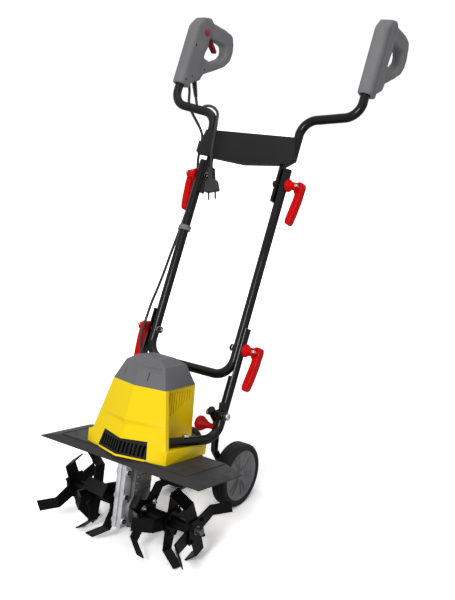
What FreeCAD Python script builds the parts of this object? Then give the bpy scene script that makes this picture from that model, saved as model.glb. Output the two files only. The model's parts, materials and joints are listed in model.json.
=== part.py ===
"""Electric tiller with folding handle and transport wheels.

Row frame: +Z up, +Y to the rear (operator's side), -Y to the front, +X to the machine's left.
The origin lies on the ground under the middle of the machine's outline.  The machine stands
parked on its two wheels and its tine tips, which leans its body back by lean_deg.
"""
import FreeCAD, Part
import math
import os
import Sketcher

os.makedirs("parts", exist_ok=True)
doc = FreeCAD.newDocument("Tiller")
Vector = FreeCAD.Vector

# ---------------------------------------------------------------- driving sizes (mm, degrees)

SIZES = [
    # stance
    ("lean_deg", 12.4, "lean of motor and gearbox when parked"),
    ("handle_lean_deg", 28.3, "lean of the folded-out handle from the vertical"),
    ("middle_to_shaft", 333.235, "tine shaft in front of the outline's middle"),
    ("running_gap", 0.3, "clearance round pins, shafts and sliding faces"),
    # tine rotor
    ("shaft_dia", 20.0, "tine shaft"),
    ("shaft_length", 396.0, "tine shaft over both ends"),
    ("shaft_stub", 14.0, "turned-down end of the tine shaft"),
    ("stub_dia", 16.0, "that end"),
    ("sleeve_dia", 28.0, "sleeve that carries three stars"),
    ("sleeve_start", 35.0, "inner end of a sleeve from the middle"),
    ("star_inner_x", 41.0, "plane of the inner star"),
    ("star_middle_x", 112.0, "plane of the middle star"),
    ("star_outer_x", 176.0, "plane of the outer star"),
    ("star_hub_dia", 58.0, "disc that joins the arms of one star"),
    ("tine_thick", 4.0, "tine plate"),
    ("arm_width", 34.0, "width of an arm at its hub"),
    ("tip_width", 30.0, "width of an arm from the bend outwards"),
    ("bend_radius_at", 68.0, "distance of the bend from the shaft"),
    ("tip_length", 46.0, "length of the bent end"),
    ("tip_bend_deg", 50.0, "bend of the end out of the star's plane"),
    ("rest_phase_deg", 15.0, "lowest tips to either side of straight down"),
    ("flange_side", 52.0, "square plate that bolts a star to its sleeve"),
    ("flange_thick", 5.0, "thickness of that plate"),
    # gearbox
    ("gearbox_width", 44.0, "casting across the machine"),
    ("gearbox_nose_dia", 84.0, "rounded lower end round the shaft"),
    ("gearbox_depth", 58.0, "column front to back"),
    ("split_flange_out", 9.0, "how far the split flange stands out"),
    ("split_flange_thick", 12.0, "both halves of the split flange"),
    ("bearing_boss_dia", 50.0, "bearing boss"),
    ("bearing_boss_width", 66.0, "over both bearing bosses"),
    ("gearbox_top", 133.0, "top flange, which carries the guard, above the shaft"),
    ("top_flange_x", 88.0, "top flange across"),
    ("top_flange_y", 92.0, "top flange front to back"),
    ("top_flange_thick", 9.0, "top flange"),
    ("screw_boss_dia", 16.0, "screw bosses along the split flange"),
    ("screw_boss_width", 30.0, "over both ends of a screw boss"),
    ("rib_out", 4.0, "ribs on the casting's sides"),
    ("neck_dia", 76.0, "neck through the guard"),
    ("neck_rise", 8.0, "neck above the top flange"),
    # motor
    ("motor_dia", 86.0, "motor, a plain block"),
    ("motor_height", 112.0, "motor height"),
    # guard
    ("guard_width", 460.0, "tine guard across"),
    ("guard_front", 82.0, "guard's front edge in front of the shaft"),
    ("guard_rear", 86.0, "guard's rear edge behind the shaft"),
    ("guard_top_width", 360.0, "flat top of the guard"),
    ("guard_top_front", 62.0, "front edge of the flat top"),
    ("guard_drop", 13.0, "drop from the flat top to the rim"),
    ("guard_wall", 3.0, "guard wall"),
    # housing
    ("housing_base_half", 114.0, "half width of the housing at its base"),
    ("housing_prow", 86.0, "front keel of the housing at its base, before the shaft"),
    ("housing_corner_y", 49.0, "front corners at the base, before the shaft"),
    ("housing_rear", 101.0, "rear wall behind the shaft"),
    ("housing_side_half", 70.0, "half width over the recessed sides"),
    ("wing_thick", 12.0, "front panel's edge beside the recess"),
    ("skirt_rise", 29.0, "skirt above the guard"),
    ("housing_rise", 155.0, "seam with the cap above the guard's top"),
    ("seam_half", 75.0, "half width of the front corners at the seam"),
    ("seam_prow", 45.0, "front keel at the seam, before the shaft"),
    ("seam_corner_y", 27.0, "front corners at the seam, before the shaft"),
    ("seam_side_half", 66.0, "half width over the recessed sides at the seam"),
    ("seam_rear", 96.0, "rear wall at the seam"),
    ("housing_wall", 4.0, "housing wall"),
    ("crease_rise", 73.0, "foot of the crease across the front panel, above the guard's top"),
    ("crease_height", 7.0, "height of the crease"),
    ("crease_step", 5.0, "how far the crease sets the keel back"),
    ("louvre_pitch", 9.5, "pitch of the slots in the housing's sides"),
    ("louvre_slot", 4.5, "width of such a slot"),
    ("louvre_length", 58.0, "longest slot, at the front"),
    ("cap_rise", 46.0, "shoulder of the cap above the seam"),
    ("cap_dome", 14.0, "top of the cap above its shoulder"),
    # grille
    ("grille_half", 70.0, "half width of the grille at its foot"),
    ("grille_top_half", 62.0, "half width of the grille at its head"),
    ("grille_height", 38.0, "grille height at its ends"),
    ("grille_bar_pitch", 9.0, "pitch of the grille's slots"),
    ("grille_slot", 5.0, "slot between two bars"),
    # tubes
    ("tube_dia", 22.0, "handle tubes"),
    ("tube_wall", 1.6, "tube wall"),
    ("leg_half", 122.0, "mid handle leg from the middle plane"),
    ("clamp_y", 168.0, "lower clamp behind the shaft, in the body's frame"),
    ("clamp_z", 381.0, "lower clamp above the shaft, in the body's frame"),
    ("clamp_span", 402.5, "lower to upper clamp"),
    ("frame_stub", 50.0, "lower frame tube past its clamp"),
    ("frame_press", 13.0, "how deep the lower frame tube is pressed in beside the mid leg"),
    ("press_reach", 66.0, "pressed part of the lower frame tube round its clamp"),
    ("frame_end_x", 88.0, "front end of the lower frame tube, from the middle"),
    ("frame_end_y", 20.0, "front end of the lower frame tube, before the shaft"),
    ("mid_stub", 38.0, "mid leg past the upper clamp"),
    ("mid_drop", 69.0, "crossbar of the mid handle under the lower clamp"),
    ("mid_bend", 45.0, "bend radius of the mid handle"),
    ("bolt_dia", 8.0, "clamp and pivot bolts"),
    ("lever_boss_dia", 28.0, "round foot of a clamp lever"),
    ("lever_thick", 16.0, "clamp lever across"),
    ("lever_length", 90.0, "clamp lever from its rod to its tip"),
    ("lever_reach", 27.0, "tube to the middle of a lever's head"),
    ("lever_deep", 18.0, "clamp lever's arm, front to back"),
    # upper handle
    ("handle_half", 127.0, "upper tube above the flattened end"),
    ("flat_thick", 8.0, "flattened end of the upper tube"),
    ("flat_width", 27.0, "flattened end, front to back"),
    ("flat_drop", 45.0, "flattened end below the upper clamp"),
    ("flat_rise", 46.0, "flattened end above the upper clamp"),
    ("round_rise", 60.0, "where the upper tube is round again"),
    ("bend1_rise", 161.0, "lower bend of the upper tube above the clamp"),
    ("bend2_rise", 183.0, "upper bend above the clamp"),
    ("grip_half", 270.0, "grips from the middle plane"),
    ("handle_bend", 42.0, "bend radius of the upper tubes"),
    ("handle_top", 384.0, "end of the upper tube above the clamp"),
    # cross panel
    ("panel_low", 47.0, "panel's lower edge above the upper clamp"),
    ("panel_high", 113.0, "panel's upper edge above the upper clamp"),
    ("panel_keel", 11.0, "how far the panel's middle dips"),
    ("panel_front", 20.0, "panel's front face before the tubes' plane"),
    # grips
    ("grip_thick", 34.0, "post of a grip across"),
    ("loop_thick", 28.0, "hand bar and outer bar of a grip across"),
    ("grip_toe_deg", 4.0, "how far a grip's front points to the middle"),
    ("grip_low", 236.0, "lower end of a grip above the clamp"),
    ("grip_high", 434.0, "top of a grip above the clamp"),
    ("grip_edge", 8.0, "rounded front edges of a grip's post"),
    ("button_dia", 16.0, "lock button in the switch grip"),
    # wheels
    ("pivot_y", 115.0, "wheel frame pivot behind the shaft, in the body's frame"),
    ("pivot_z", 232.0, "wheel frame pivot above the shaft, in the body's frame"),
    ("bail_lean_deg", 30.33583, "lean of the wheel frame when parked"),
    ("bail_dia", 18.0, "wheel frame tube"),
    ("bail_bend", 24.0, "bend radius of the wheel frame"),
    ("bail_top", 13.0, "wheel frame above its pivot"),
    ("bail_straight", 30.0, "wheel frame straight under its pivot"),
    ("bail_low_half", 53.0, "wheel frame between the wheels, from the middle plane"),
    ("axle_down", 254.79, "axle below the pivot, along the wheel frame"),
    ("axle_dia", 12.0, "axle"),
    ("tyre_gap", 5.0, "wheel frame clear of the tyres"),
    ("wheel_inner_x", 67.0, "inner face of a wheel"),
    ("wheel_width", 40.0, "wheel width"),
    ("rim_dia", 127.6, "rim under the tyre"),
    ("knob_length", 50.0, "lock knob from the frame tube to its end"),
    ("knob_dia", 36.0, "lock knob"),
    ("knob_y", 116.4, "lock knob behind the shaft, in the body's frame"),
    ("knob_z", 200.0, "lock knob above the shaft, in the body's frame"),
    # cables
    ("cable_dia", 7.0, "motor cable and power cord"),
    ("clip_wall", 1.5, "wall of the cable clip and the cable ring"),
    ("cable_room", 1.2, "room round the cable in its clip and its ring"),
    ("cable_swing_room", 10.0, "cable's middle outside the swing of the mid handle's legs"),
    ("clip_low", 57.0, "lower end of the cable clip above the upper clamp"),
    ("clip_height", 29.0, "cable clip along the tube"),
    ("ring_rise", 256.0, "cable ring above the lower clamp"),
    ("ring_height", 12.0, "cable ring along the leg"),
    ("ring_wall", 4.0, "cable ring round the leg"),
    ("plug_length", 60.0, "power plug without its pins"),
    ("plug_neck", 27.0, "ribbed neck of the power plug"),
    ("plug_width", 37.0, "power plug across its pins"),
    ("plug_thick", 17.0, "power plug"),
    ("pin_pitch", 19.0, "plug pins apart"),
    ("pin_length", 19.0, "plug pins"),
    ("pin_dia", 4.8, "plug pins"),
    ("frame_bolt_y", 28.0, "bolt of the lower frame tube behind the shaft"),
]


class Size:
    """A number that remembers the spreadsheet formula it comes from."""

    def __init__(self, number, formula):
        self.number = float(number)
        self.formula = formula

    def __float__(self):
        return self.number

    def __add__(self, other):
        return Size(self.number + float(other), f"({self.formula} + {text_of(other)})")

    def __radd__(self, other):
        return Size(float(other) + self.number, f"({text_of(other)} + {self.formula})")

    def __sub__(self, other):
        return Size(self.number - float(other), f"({self.formula} - {text_of(other)})")

    def __rsub__(self, other):
        return Size(float(other) - self.number, f"({text_of(other)} - {self.formula})")

    def __mul__(self, other):
        return Size(self.number * float(other), f"({self.formula} * {text_of(other)})")

    __rmul__ = __mul__

    def __truediv__(self, other):
        return Size(self.number / float(other), f"({self.formula} / {text_of(other)})")

    def __neg__(self):
        return Size(-self.number, f"(-1 * {self.formula})")


def text_of(value):
    return value.formula if isinstance(value, Size) else repr(float(value))


def cosine(angle):
    return Size(math.cos(math.radians(float(angle))), f"cos({text_of(angle)})")


def sine(angle):
    return Size(math.sin(math.radians(float(angle))), f"sin({text_of(angle)})")


class Sheet:
    """The spreadsheet: each size is read as an attribute by its alias."""

    def __init__(self, rows):
        self.cells = {}
        sheet = doc.addObject("Spreadsheet::Sheet", "Sizes")
        for row, (alias, number, note) in enumerate(rows, start=1):
            sheet.set(f"A{row}", note)
            sheet.set(f"B{row}", str(number))
            sheet.setAlias(f"B{row}", alias)
            self.cells[alias] = Size(number, f"Sizes.{alias}")

    def __getattr__(self, alias):
        return self.cells[alias]


S = Sheet(SIZES)
doc.recompute()

# ---------------------------------------------------------------- derived places

TIP_REACH = S.bend_radius_at + S.tip_length * cosine(S.tip_bend_deg)
SHAFT_HEIGHT = TIP_REACH * cosine(S.rest_phase_deg) + S.tip_width / 2 * sine(S.rest_phase_deg)
GUARD_TOP = S.gearbox_top + S.guard_wall
SEAM = GUARD_TOP + S.housing_rise
TUBE = S.tube_dia / 2
BOLT = S.bolt_dia / 2
CABLE = S.cable_dia / 2
FRAME_X = S.leg_half + S.tube_dia + S.running_gap - S.frame_press
PRESS_X = S.leg_half + TUBE + S.running_gap
FRAME_LEVEL = GUARD_TOP + S.skirt_rise + TUBE + 0.1
FLAT_X = S.leg_half - TUBE - S.running_gap - S.flat_thick / 2


def turn_about_x(angle_deg, y, z):
    """Turn a point about the X axis; a positive angle leans +Z towards +Y."""
    c = math.cos(math.radians(angle_deg))
    s = math.sin(math.radians(angle_deg))
    return y * c + z * s, z * c - y * s


def frame_at(y, z, lean_deg):
    """Placement with its Z axis leaned back by lean_deg, at y, z of the row frame."""
    return FreeCAD.Placement(Vector(0, y, z), FreeCAD.Rotation(Vector(1, 0, 0), -lean_deg))


LEAN = float(S.lean_deg)
HANDLE_LEAN = float(S.handle_lean_deg)
SHAFT_Y = -float(S.middle_to_shaft)
SHAFT_Z = float(SHAFT_HEIGHT)


def body_point(y, z):
    """A point of the leaned body's frame, in the row frame."""
    row_y, row_z = turn_about_x(LEAN, float(y), float(z))
    return SHAFT_Y + row_y, SHAFT_Z + row_z


LOWER_CLAMP = body_point(S.clamp_y, S.clamp_z)
step = turn_about_x(HANDLE_LEAN, 0.0, float(S.clamp_span))
UPPER_CLAMP = (LOWER_CLAMP[0] + step[0], LOWER_CLAMP[1] + step[1])
WHEEL_PIVOT = body_point(S.pivot_y, S.pivot_z)
BAIL_LEAN = -float(S.bail_lean_deg)
step = turn_about_x(BAIL_LEAN, 0.0, -float(S.axle_down))
AXLE = (WHEEL_PIVOT[0] + step[0], WHEEL_PIVOT[1] + step[1])
WHEEL_RADIUS = AXLE[1]

FRAMES = {
    "body": frame_at(SHAFT_Y, SHAFT_Z, LEAN),
    "rotor": frame_at(SHAFT_Y, SHAFT_Z, 0.0),
    "mid": frame_at(LOWER_CLAMP[0], LOWER_CLAMP[1], HANDLE_LEAN),
    "upper": frame_at(UPPER_CLAMP[0], UPPER_CLAMP[1], HANDLE_LEAN),
    "bail": frame_at(WHEEL_PIVOT[0], WHEEL_PIVOT[1], BAIL_LEAN),
    "axle": frame_at(AXLE[0], AXLE[1], 0.0),
}

# ---------------------------------------------------------------- modelling helpers

NODES = []


def bind(obj, prop, value):
    """Set a property, tied to the spreadsheet when the value comes from it."""
    if isinstance(value, Size):
        obj.setExpression(prop, value.formula)
    else:
        obj.setExpression(prop, repr(float(value)))


def keep(name, obj):
    obj.Label = name
    NODES.append((name, obj))
    return obj


def new_body(name, frame):
    body = doc.addObject("PartDesign::Body", name)
    body.Placement = FRAMES[frame]
    return body


def origin_plane(body, role):
    return next(f for f in body.Origin.OriginFeatures if f.Role == role)


def sketch_on(body, role, offset=0.0):
    """A sketch on one of the body's own origin planes, offset along the plane's normal."""
    sketch = body.newObject("Sketcher::SketchObject", f"Sketch_{body.Name}")
    sketch.AttachmentSupport = (origin_plane(body, role), [""])
    sketch.MapMode = "FlatFace"
    if isinstance(offset, Size) or offset:
        bind(sketch, "AttachmentOffset.Base.z", offset)
    return sketch


def pin_point(sketch, geometry, position, x, y):
    """Hold a sketch point at x, y from the sketch's origin."""
    for kind, axis, value in (("DistanceX", -2, x), ("DistanceY", -1, y)):
        if isinstance(value, Size):
            number = sketch.addConstraint(
                Sketcher.Constraint(kind, -1, 1, geometry, position, float(value)))
            sketch.setExpression(f"Constraints[{number}]", value.formula)
        elif value == 0:
            sketch.addConstraint(Sketcher.Constraint("PointOnObject", geometry, position, axis))
        else:
            sketch.addConstraint(
                Sketcher.Constraint(kind, -1, 1, geometry, position, float(value)))


def polygon(sketch, points):
    """A closed outline whose corners are held at the given places."""
    corners = [Vector(float(x), float(y), 0) for x, y in points]
    first = sketch.GeometryCount
    for start, end in zip(corners, corners[1:] + corners[:1]):
        sketch.addGeometry(Part.LineSegment(start, end), False)
    for index, (x, y) in enumerate(points):
        line = first + index
        before = first + (index - 1) % len(points)
        sketch.addConstraint(Sketcher.Constraint("Coincident", before, 2, line, 1))
        pin_point(sketch, line, 1, x, y)


def rectangle(sketch, left, low, right, high):
    polygon(sketch, [(left, low), (right, low), (right, high), (left, high)])


def circle(sketch, x, y, radius):
    centre = Vector(float(x), float(y), 0)
    index = sketch.addGeometry(Part.Circle(centre, Vector(0, 0, 1), float(radius)), False)
    number = sketch.addConstraint(Sketcher.Constraint("Radius", index, float(radius)))
    bind(sketch, f"Constraints[{number}]", radius)
    pin_point(sketch, index, 3, x, y)


def mirrored(points):
    """Points of a half outline (x >= 0, front to back) and their mirror images."""
    left = [(-x, y) for x, y in reversed(points) if not (isinstance(x, float) and x == 0.0)]
    return points + left


def feature(body, kind, sketch):
    made = body.newObject(f"PartDesign::{kind}", kind)
    made.Profile = sketch
    sketch.Visibility = False
    return made


def pad(body, sketch, length, both_ways=False, reverse=False):
    made = feature(body, "Pad", sketch)
    bind(made, "Length", length)
    made.SideType = "Symmetric" if both_ways else "One side"
    made.Reversed = reverse
    return made


def pocket(body, sketch, length, both_ways=False, reverse=False):
    made = feature(body, "Pocket", sketch)
    bind(made, "Length", length)
    made.SideType = "Symmetric" if both_ways else "One side"
    made.Reversed = reverse
    return made


def loft(body, sketches, cut=False):
    made = feature(body, "SubtractiveLoft" if cut else "AdditiveLoft", sketches[0])
    made.Sections = sketches[1:]
    made.Ruled = True
    return made


def revolve_about_x(body, points, angle=360.0):
    """Turn a half profile of (x, radius) points about the body's X axis."""
    sketch = sketch_on(body, "XZ_Plane")
    polygon(sketch, points)
    made = feature(body, "Revolution", sketch)
    made.ReferenceAxis = (origin_plane(body, "X_Axis"), [""])
    made.Angle = angle
    return made


def bent_path(sketch, points, radius):
    """Straight runs joined by tangent arcs, inside a construction polygon of the corners."""
    corners = [Vector(float(x), float(y), 0) for x, y in points]
    guides = []
    for (start, end) in zip(corners, corners[1:]):
        guides.append(sketch.addGeometry(Part.LineSegment(start, end), True))
    for index, guide in enumerate(guides):
        pin_point(sketch, guide, 1, *points[index])
        if index:
            sketch.addConstraint(Sketcher.Constraint("Coincident", guides[index - 1], 2, guide, 1))
    pin_point(sketch, guides[-1], 2, *points[-1])
    trims = [0.0]
    for before, corner, after in zip(corners, corners[1:], corners[2:]):
        turn = (corner - before).getAngle(after - corner)
        trims.append(float(radius) * math.tan(turn / 2))
    trims.append(0.0)
    ends = []
    for index, (start, end) in enumerate(zip(corners, corners[1:])):
        along = (end - start).normalize()
        ends.append((start + along * trims[index], end - along * trims[index + 1]))
    lines = [sketch.addGeometry(Part.LineSegment(a, b), False) for a, b in ends]
    for guide, line in zip(guides, lines):
        if line != lines[0]:
            sketch.addConstraint(Sketcher.Constraint("PointOnObject", line, 1, guide))
        if line != lines[-1]:
            sketch.addConstraint(Sketcher.Constraint("PointOnObject", line, 2, guide))
    sketch.addConstraint(Sketcher.Constraint("Coincident", lines[0], 1, guides[0], 1))
    sketch.addConstraint(Sketcher.Constraint("Coincident", lines[-1], 2, guides[-1], 2))
    for index in range(len(lines) - 1):
        a = ends[index][1]
        b = ends[index + 1][0]
        corner = corners[index + 1]
        inward = ((a - corner) + (b - corner)).normalize()
        reach = math.hypot(float(radius), trims[index + 1])
        middle = corner + inward * (reach - float(radius))
        arc = Part.Arc(a, middle, b)
        number = sketch.addGeometry(arc, False)
        centre = corner + inward * reach
        if (a - centre).cross(b - centre).z < 0:
            first, second = 2, 1
        else:
            first, second = 1, 2
        sketch.addConstraint(Sketcher.Constraint("Tangent", lines[index], 2, number, first))
        sketch.addConstraint(Sketcher.Constraint("Tangent", number, second, lines[index + 1], 1))
        held = sketch.addConstraint(Sketcher.Constraint("Radius", number, float(radius)))
        bind(sketch, f"Constraints[{held}]", radius)


def bent_tube(body, points, bend, outer, wall=None):
    """A round tube along a bent path in the body's XZ plane; the first run is along Z."""
    path = sketch_on(body, "XZ_Plane")
    bent_path(path, points, bend)
    section = sketch_on(body, "XY_Plane", points[0][1])
    circle(section, points[0][0], 0.0, outer)
    if wall is not None:
        circle(section, points[0][0], 0.0, outer - wall)
    pipe = feature(body, "AdditivePipe", section)
    pipe.Spine = (path, [])
    path.Visibility = False
    return pipe


def cross_hole(body, y, z, radius, half_length):
    """A hole along X through the whole body at y, z."""
    sketch = sketch_on(body, "YZ_Plane")
    circle(sketch, y, z, radius)
    return pocket(body, sketch, half_length * 2, both_ways=True)


def mirror_of(source, name):
    made = doc.addObject("Part::Mirroring", name)
    made.Source = source
    made.Normal = Vector(1, 0, 0)
    return made


def pair(name, source):
    """One node that holds a piece and its mirror image."""
    both = doc.addObject("Part::Compound", name)
    both.Links = [source, mirror_of(source, f"{name}_mirror")]
    return keep(name, both)


def smooth_path(points, radii=None, share=0.45):
    """Straight runs joined by tangent arcs, each as large as its two runs allow."""
    corners = [Vector(*p) for p in points]
    edges = []
    used = []
    start = corners[0]
    for index in range(1, len(corners) - 1):
        before, corner, after = corners[index - 1:index + 2]
        into = (corner - before)
        out = (after - corner)
        turn = into.getAngle(out)
        radius = share * min(into.Length, out.Length) / math.tan(turn / 2)
        if radii is not None:
            radius = radii
        trim = radius * math.tan(turn / 2)
        a = corner - into.normalize() * trim
        b = corner + out.normalize() * trim
        inward = ((a - corner) + (b - corner)).normalize()
        middle = corner + inward * (math.hypot(radius, trim) - radius)
        edges.append(Part.LineSegment(start, a).toShape())
        edges.append(Part.Arc(a, middle, b).toShape())
        used.append(radius)
        start = b
    edges.append(Part.LineSegment(start, corners[-1]).toShape())
    return Part.Wire(edges), used


def round_section(wire, radius):
    first = wire.Edges[0]
    start = first.valueAt(first.FirstParameter)
    return Part.Wire(Part.Circle(start, first.tangentAt(first.FirstParameter), radius).toShape())


def tube_shape(points, outer, inner=None, bend=None):
    """A round tube, or a rod, along a path that bends in space."""
    wire, used = smooth_path(points, bend)
    shape = wire.makePipeShell([round_section(wire, outer)], True, True)
    if inner:
        shape = shape.cut(wire.makePipeShell([round_section(wire, inner)], True, True))
    return shape, wire.Length, used


def free_shape(name, shape, frame):
    """A piece that bends in space, which no sketch plane holds."""
    made = doc.addObject("Part::Feature", name)
    made.Shape = shape
    made.Placement = FRAMES[frame]
    return made


# ---------------------------------------------------------------- gearbox and motor

BOSS_SHARES = (0.2, 0.64)
RIB_SHARES = (0.36, 0.48, 0.6, 0.72, 0.84)


def make_gearbox():
    body = new_body("gearbox", "body")
    nose = S.gearbox_nose_dia / 2
    half = S.gearbox_depth / 2
    sketch = sketch_on(body, "YZ_Plane")
    circle(sketch, 0.0, 0.0, nose)
    pad(body, sketch, S.gearbox_width, both_ways=True)
    sketch = sketch_on(body, "YZ_Plane")
    rectangle(sketch, -half, 0.0, half, S.gearbox_top)
    pad(body, sketch, S.gearbox_width, both_ways=True)
    # split flange down the front and the back
    sketch = sketch_on(body, "YZ_Plane")
    out = half + S.split_flange_out
    rectangle(sketch, -out, 0.0 - nose * 0.6, out, S.gearbox_top)
    pad(body, sketch, S.split_flange_thick, both_ways=True)
    sketch = sketch_on(body, "YZ_Plane")
    circle(sketch, 0.0, 0.0, nose + S.split_flange_out * 0.7)
    pad(body, sketch, S.split_flange_thick, both_ways=True)
    # screw bosses along it
    for side in (1, -1):
        for share in BOSS_SHARES:
            sketch = sketch_on(body, "YZ_Plane")
            circle(sketch, (half + S.split_flange_out * 0.5) * side, S.gearbox_top * share,
                   S.screw_boss_dia / 2)
            pad(body, sketch, S.screw_boss_width, both_ways=True)
    # ribs round the column
    for share in RIB_SHARES:
        sketch = sketch_on(body, "XY_Plane", S.gearbox_top * share)
        reach = S.gearbox_width / 2 + S.rib_out
        rectangle(sketch, -reach, 4.0 - half, reach, half - 4.0)
        pad(body, sketch, 4.0)
    # bearing bosses
    sketch = sketch_on(body, "YZ_Plane")
    circle(sketch, 0.0, 0.0, S.bearing_boss_dia / 2)
    pad(body, sketch, S.bearing_boss_width, both_ways=True)
    # top flange and the neck that carries the motor
    sketch = sketch_on(body, "XY_Plane", S.gearbox_top - S.top_flange_thick)
    rectangle(sketch, S.top_flange_x / -2.0, S.top_flange_y / -2.0,
              S.top_flange_x / 2, S.top_flange_y / 2)
    pad(body, sketch, S.top_flange_thick)
    sketch = sketch_on(body, "XY_Plane", S.gearbox_top)
    circle(sketch, 0.0, 0.0, S.neck_dia / 2)
    pad(body, sketch, S.neck_rise)
    cross_hole(body, 0.0, 0.0, S.shaft_dia / 2 + S.running_gap, S.bearing_boss_width)
    return keep("gearbox", body)


def make_motor():
    motor = doc.addObject("Part::Cylinder", "motor_block")
    bind(motor, "Radius", S.motor_dia / 2)
    bind(motor, "Height", S.motor_height)
    foot = S.gearbox_top + S.neck_rise
    local = FreeCAD.Placement(Vector(0, 0, float(foot)), FreeCAD.Rotation())
    motor.Placement = FRAMES["body"].multiply(local)
    return keep("motor_block", motor)


# ---------------------------------------------------------------- guard, housing, cap, grille

def make_guard():
    body = new_body("tine_guard", "body")
    top = GUARD_TOP
    rim = top - S.guard_drop
    half = S.guard_width / 2
    top_half = S.guard_top_width / 2

    def outline(level, half_width, front, sink):
        sketch = sketch_on(body, "XY_Plane", level - sink)
        rectangle(sketch, -half_width, -front, half_width, S.guard_rear)
        return sketch

    wall = S.guard_wall
    loft(body, [outline(rim, half, S.guard_front, wall), outline(rim, half, S.guard_front, 0.0)])
    loft(body, [outline(rim, half, S.guard_front, 0.0),
                outline(top, top_half, S.guard_top_front, 0.0)])
    hollow = [outline(rim, half, S.guard_front, wall * 2),
              outline(rim, half, S.guard_front, wall),
              outline(top, top_half, S.guard_top_front, wall)]
    loft(body, hollow[:2], cut=True)
    loft(body, [hollow[1], hollow[2]], cut=True)
    sketch = sketch_on(body, "XY_Plane", top - wall * 2)
    circle(sketch, 0.0, 0.0, S.neck_dia / 2 + S.running_gap)
    pocket(body, sketch, wall * 4, reverse=True)
    return keep("tine_guard", body)


def between(foot, head, share):
    """A size between the housing's base and its seam."""
    return foot + (head - foot) * share


def housing_sizes(share):
    """Prow, half width, front corners, recessed sides and rear of the housing's plan."""
    return (between(S.housing_prow, S.seam_prow, share),
            between(S.housing_base_half, S.seam_half, share),
            between(S.housing_corner_y, S.seam_corner_y, share),
            between(S.housing_side_half, S.seam_side_half, share),
            between(S.housing_rear, S.seam_rear, share))


def housing_outline(share, set_back=0.0):
    """Plan of the housing: a prow, two front corners and recessed sides."""
    prow, half, corner, side, rear = housing_sizes(share)
    return mirrored([
        (0.0, set_back - prow),
        (half, -corner),
        (half, S.wing_thick - corner),
        (side, S.wing_thick * 1.5 - corner),
        (side, rear),
    ])


def inner_outline(share):
    prow, half, corner, side, rear = housing_sizes(share)
    wall = S.housing_wall
    face = (prow - corner) / half
    inner_side = side - wall
    front = wall * 1.1 + S.crease_step - prow
    return mirrored([
        (0.0, front),
        (inner_side, inner_side * face + front),
        (inner_side, rear - wall),
    ])


def add_housing_shell(body):
    crease = S.crease_rise / S.housing_rise
    over = (S.crease_rise + S.crease_height) / S.housing_rise
    stages = ((0.0, 0.0), (crease, S.crease_step), (over, 0.0), (1.0, 0.0))
    for low, high in zip(stages, stages[1:]):
        pair_of_plans = []
        for share, set_back in (low, high):
            plan = sketch_on(body, "XY_Plane", GUARD_TOP + S.housing_rise * share)
            polygon(plan, housing_outline(share, set_back))
            pair_of_plans.append(plan)
        loft(body, pair_of_plans)


def hollow_housing(body):
    low = sketch_on(body, "XY_Plane", GUARD_TOP)
    polygon(low, inner_outline(0.0))
    high = sketch_on(body, "XY_Plane", SEAM)
    polygon(high, inner_outline(1.0))
    loft(body, [low, high], cut=True)


def grille_corners():
    foot = GUARD_TOP + 4.0
    head = foot + S.grille_height
    return [(-S.grille_half, foot), (S.grille_half, foot),
            (S.grille_top_half, head), (0.0, head - 4.0), (-S.grille_top_half, head)]


LOUVRES = 9


def make_housing():
    body = new_body("motor_housing", "body")
    add_housing_shell(body)
    skirt = sketch_on(body, "XY_Plane", GUARD_TOP)
    polygon(skirt, mirrored([
        (0.0, -S.housing_corner_y),
        (S.housing_base_half, -S.housing_corner_y),
        (S.housing_base_half - 2.0, S.housing_rear + 2.0),
    ]))
    pad(body, skirt, S.skirt_rise)
    hollow_housing(body)
    holes = sketch_on(body, "XY_Plane", GUARD_TOP + S.skirt_rise - 12.0)
    bolt_x, bolt_y = frame_bolt_place()
    circle(holes, bolt_x, bolt_y, BOLT + 0.1)
    circle(holes, -bolt_x, bolt_y, BOLT + 0.1)
    pocket(body, holes, 40.0, reverse=True)
    # the front opening for the grille
    sketch = sketch_on(body, "XZ_Plane", S.housing_corner_y - 10.0)
    polygon(sketch, grille_corners())
    pocket(body, sketch, S.housing_prow, reverse=True)
    # slots under the seam, through both recessed sides, shorter towards the rear
    sketch = sketch_on(body, "YZ_Plane")
    top = SEAM - 9.0
    for index in range(LOUVRES):
        front = S.louvre_pitch * index
        rectangle(sketch, front, top - S.louvre_length * (1.0 - 0.07 * index),
                  front + S.louvre_slot, top)
    pocket(body, sketch, S.housing_base_half * 3, both_ways=True)
    return keep("motor_housing", body)


def make_grille():
    body = new_body("front_grille", "body")
    add_housing_shell(body)
    hollow_housing(body)
    # keep only what lies in the front opening
    foot = GUARD_TOP + 4.0
    reach = S.housing_base_half + 10.0
    deep = S.housing_rear + 10.0
    sketch = sketch_on(body, "XZ_Plane", 0.0 - deep)
    rectangle(sketch, -reach, GUARD_TOP - 10.0, reach, SEAM + 10.0)
    pocket(body, sketch, deep + S.housing_corner_y - 10.0, reverse=True)
    sketch = sketch_on(body, "XZ_Plane")
    rectangle(sketch, -reach, GUARD_TOP - 10.0, reach, SEAM + 10.0)
    polygon(sketch, grille_corners())
    pocket(body, sketch, reach * 4, both_ways=True)
    # slots
    count = int(float(S.grille_half) * 2 / float(S.grille_bar_pitch)) - 1
    sketch = sketch_on(body, "XZ_Plane")
    first = S.grille_bar_pitch * (-(count - 1) / 2)
    for index in range(count):
        middle = first + S.grille_bar_pitch * index
        rectangle(sketch, middle - S.grille_slot / 2, foot + 4.0,
                  middle + S.grille_slot / 2, foot + S.grille_height - 10.0)
    pocket(body, sketch, reach * 4, both_ways=True)
    return keep("front_grille", body)


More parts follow.
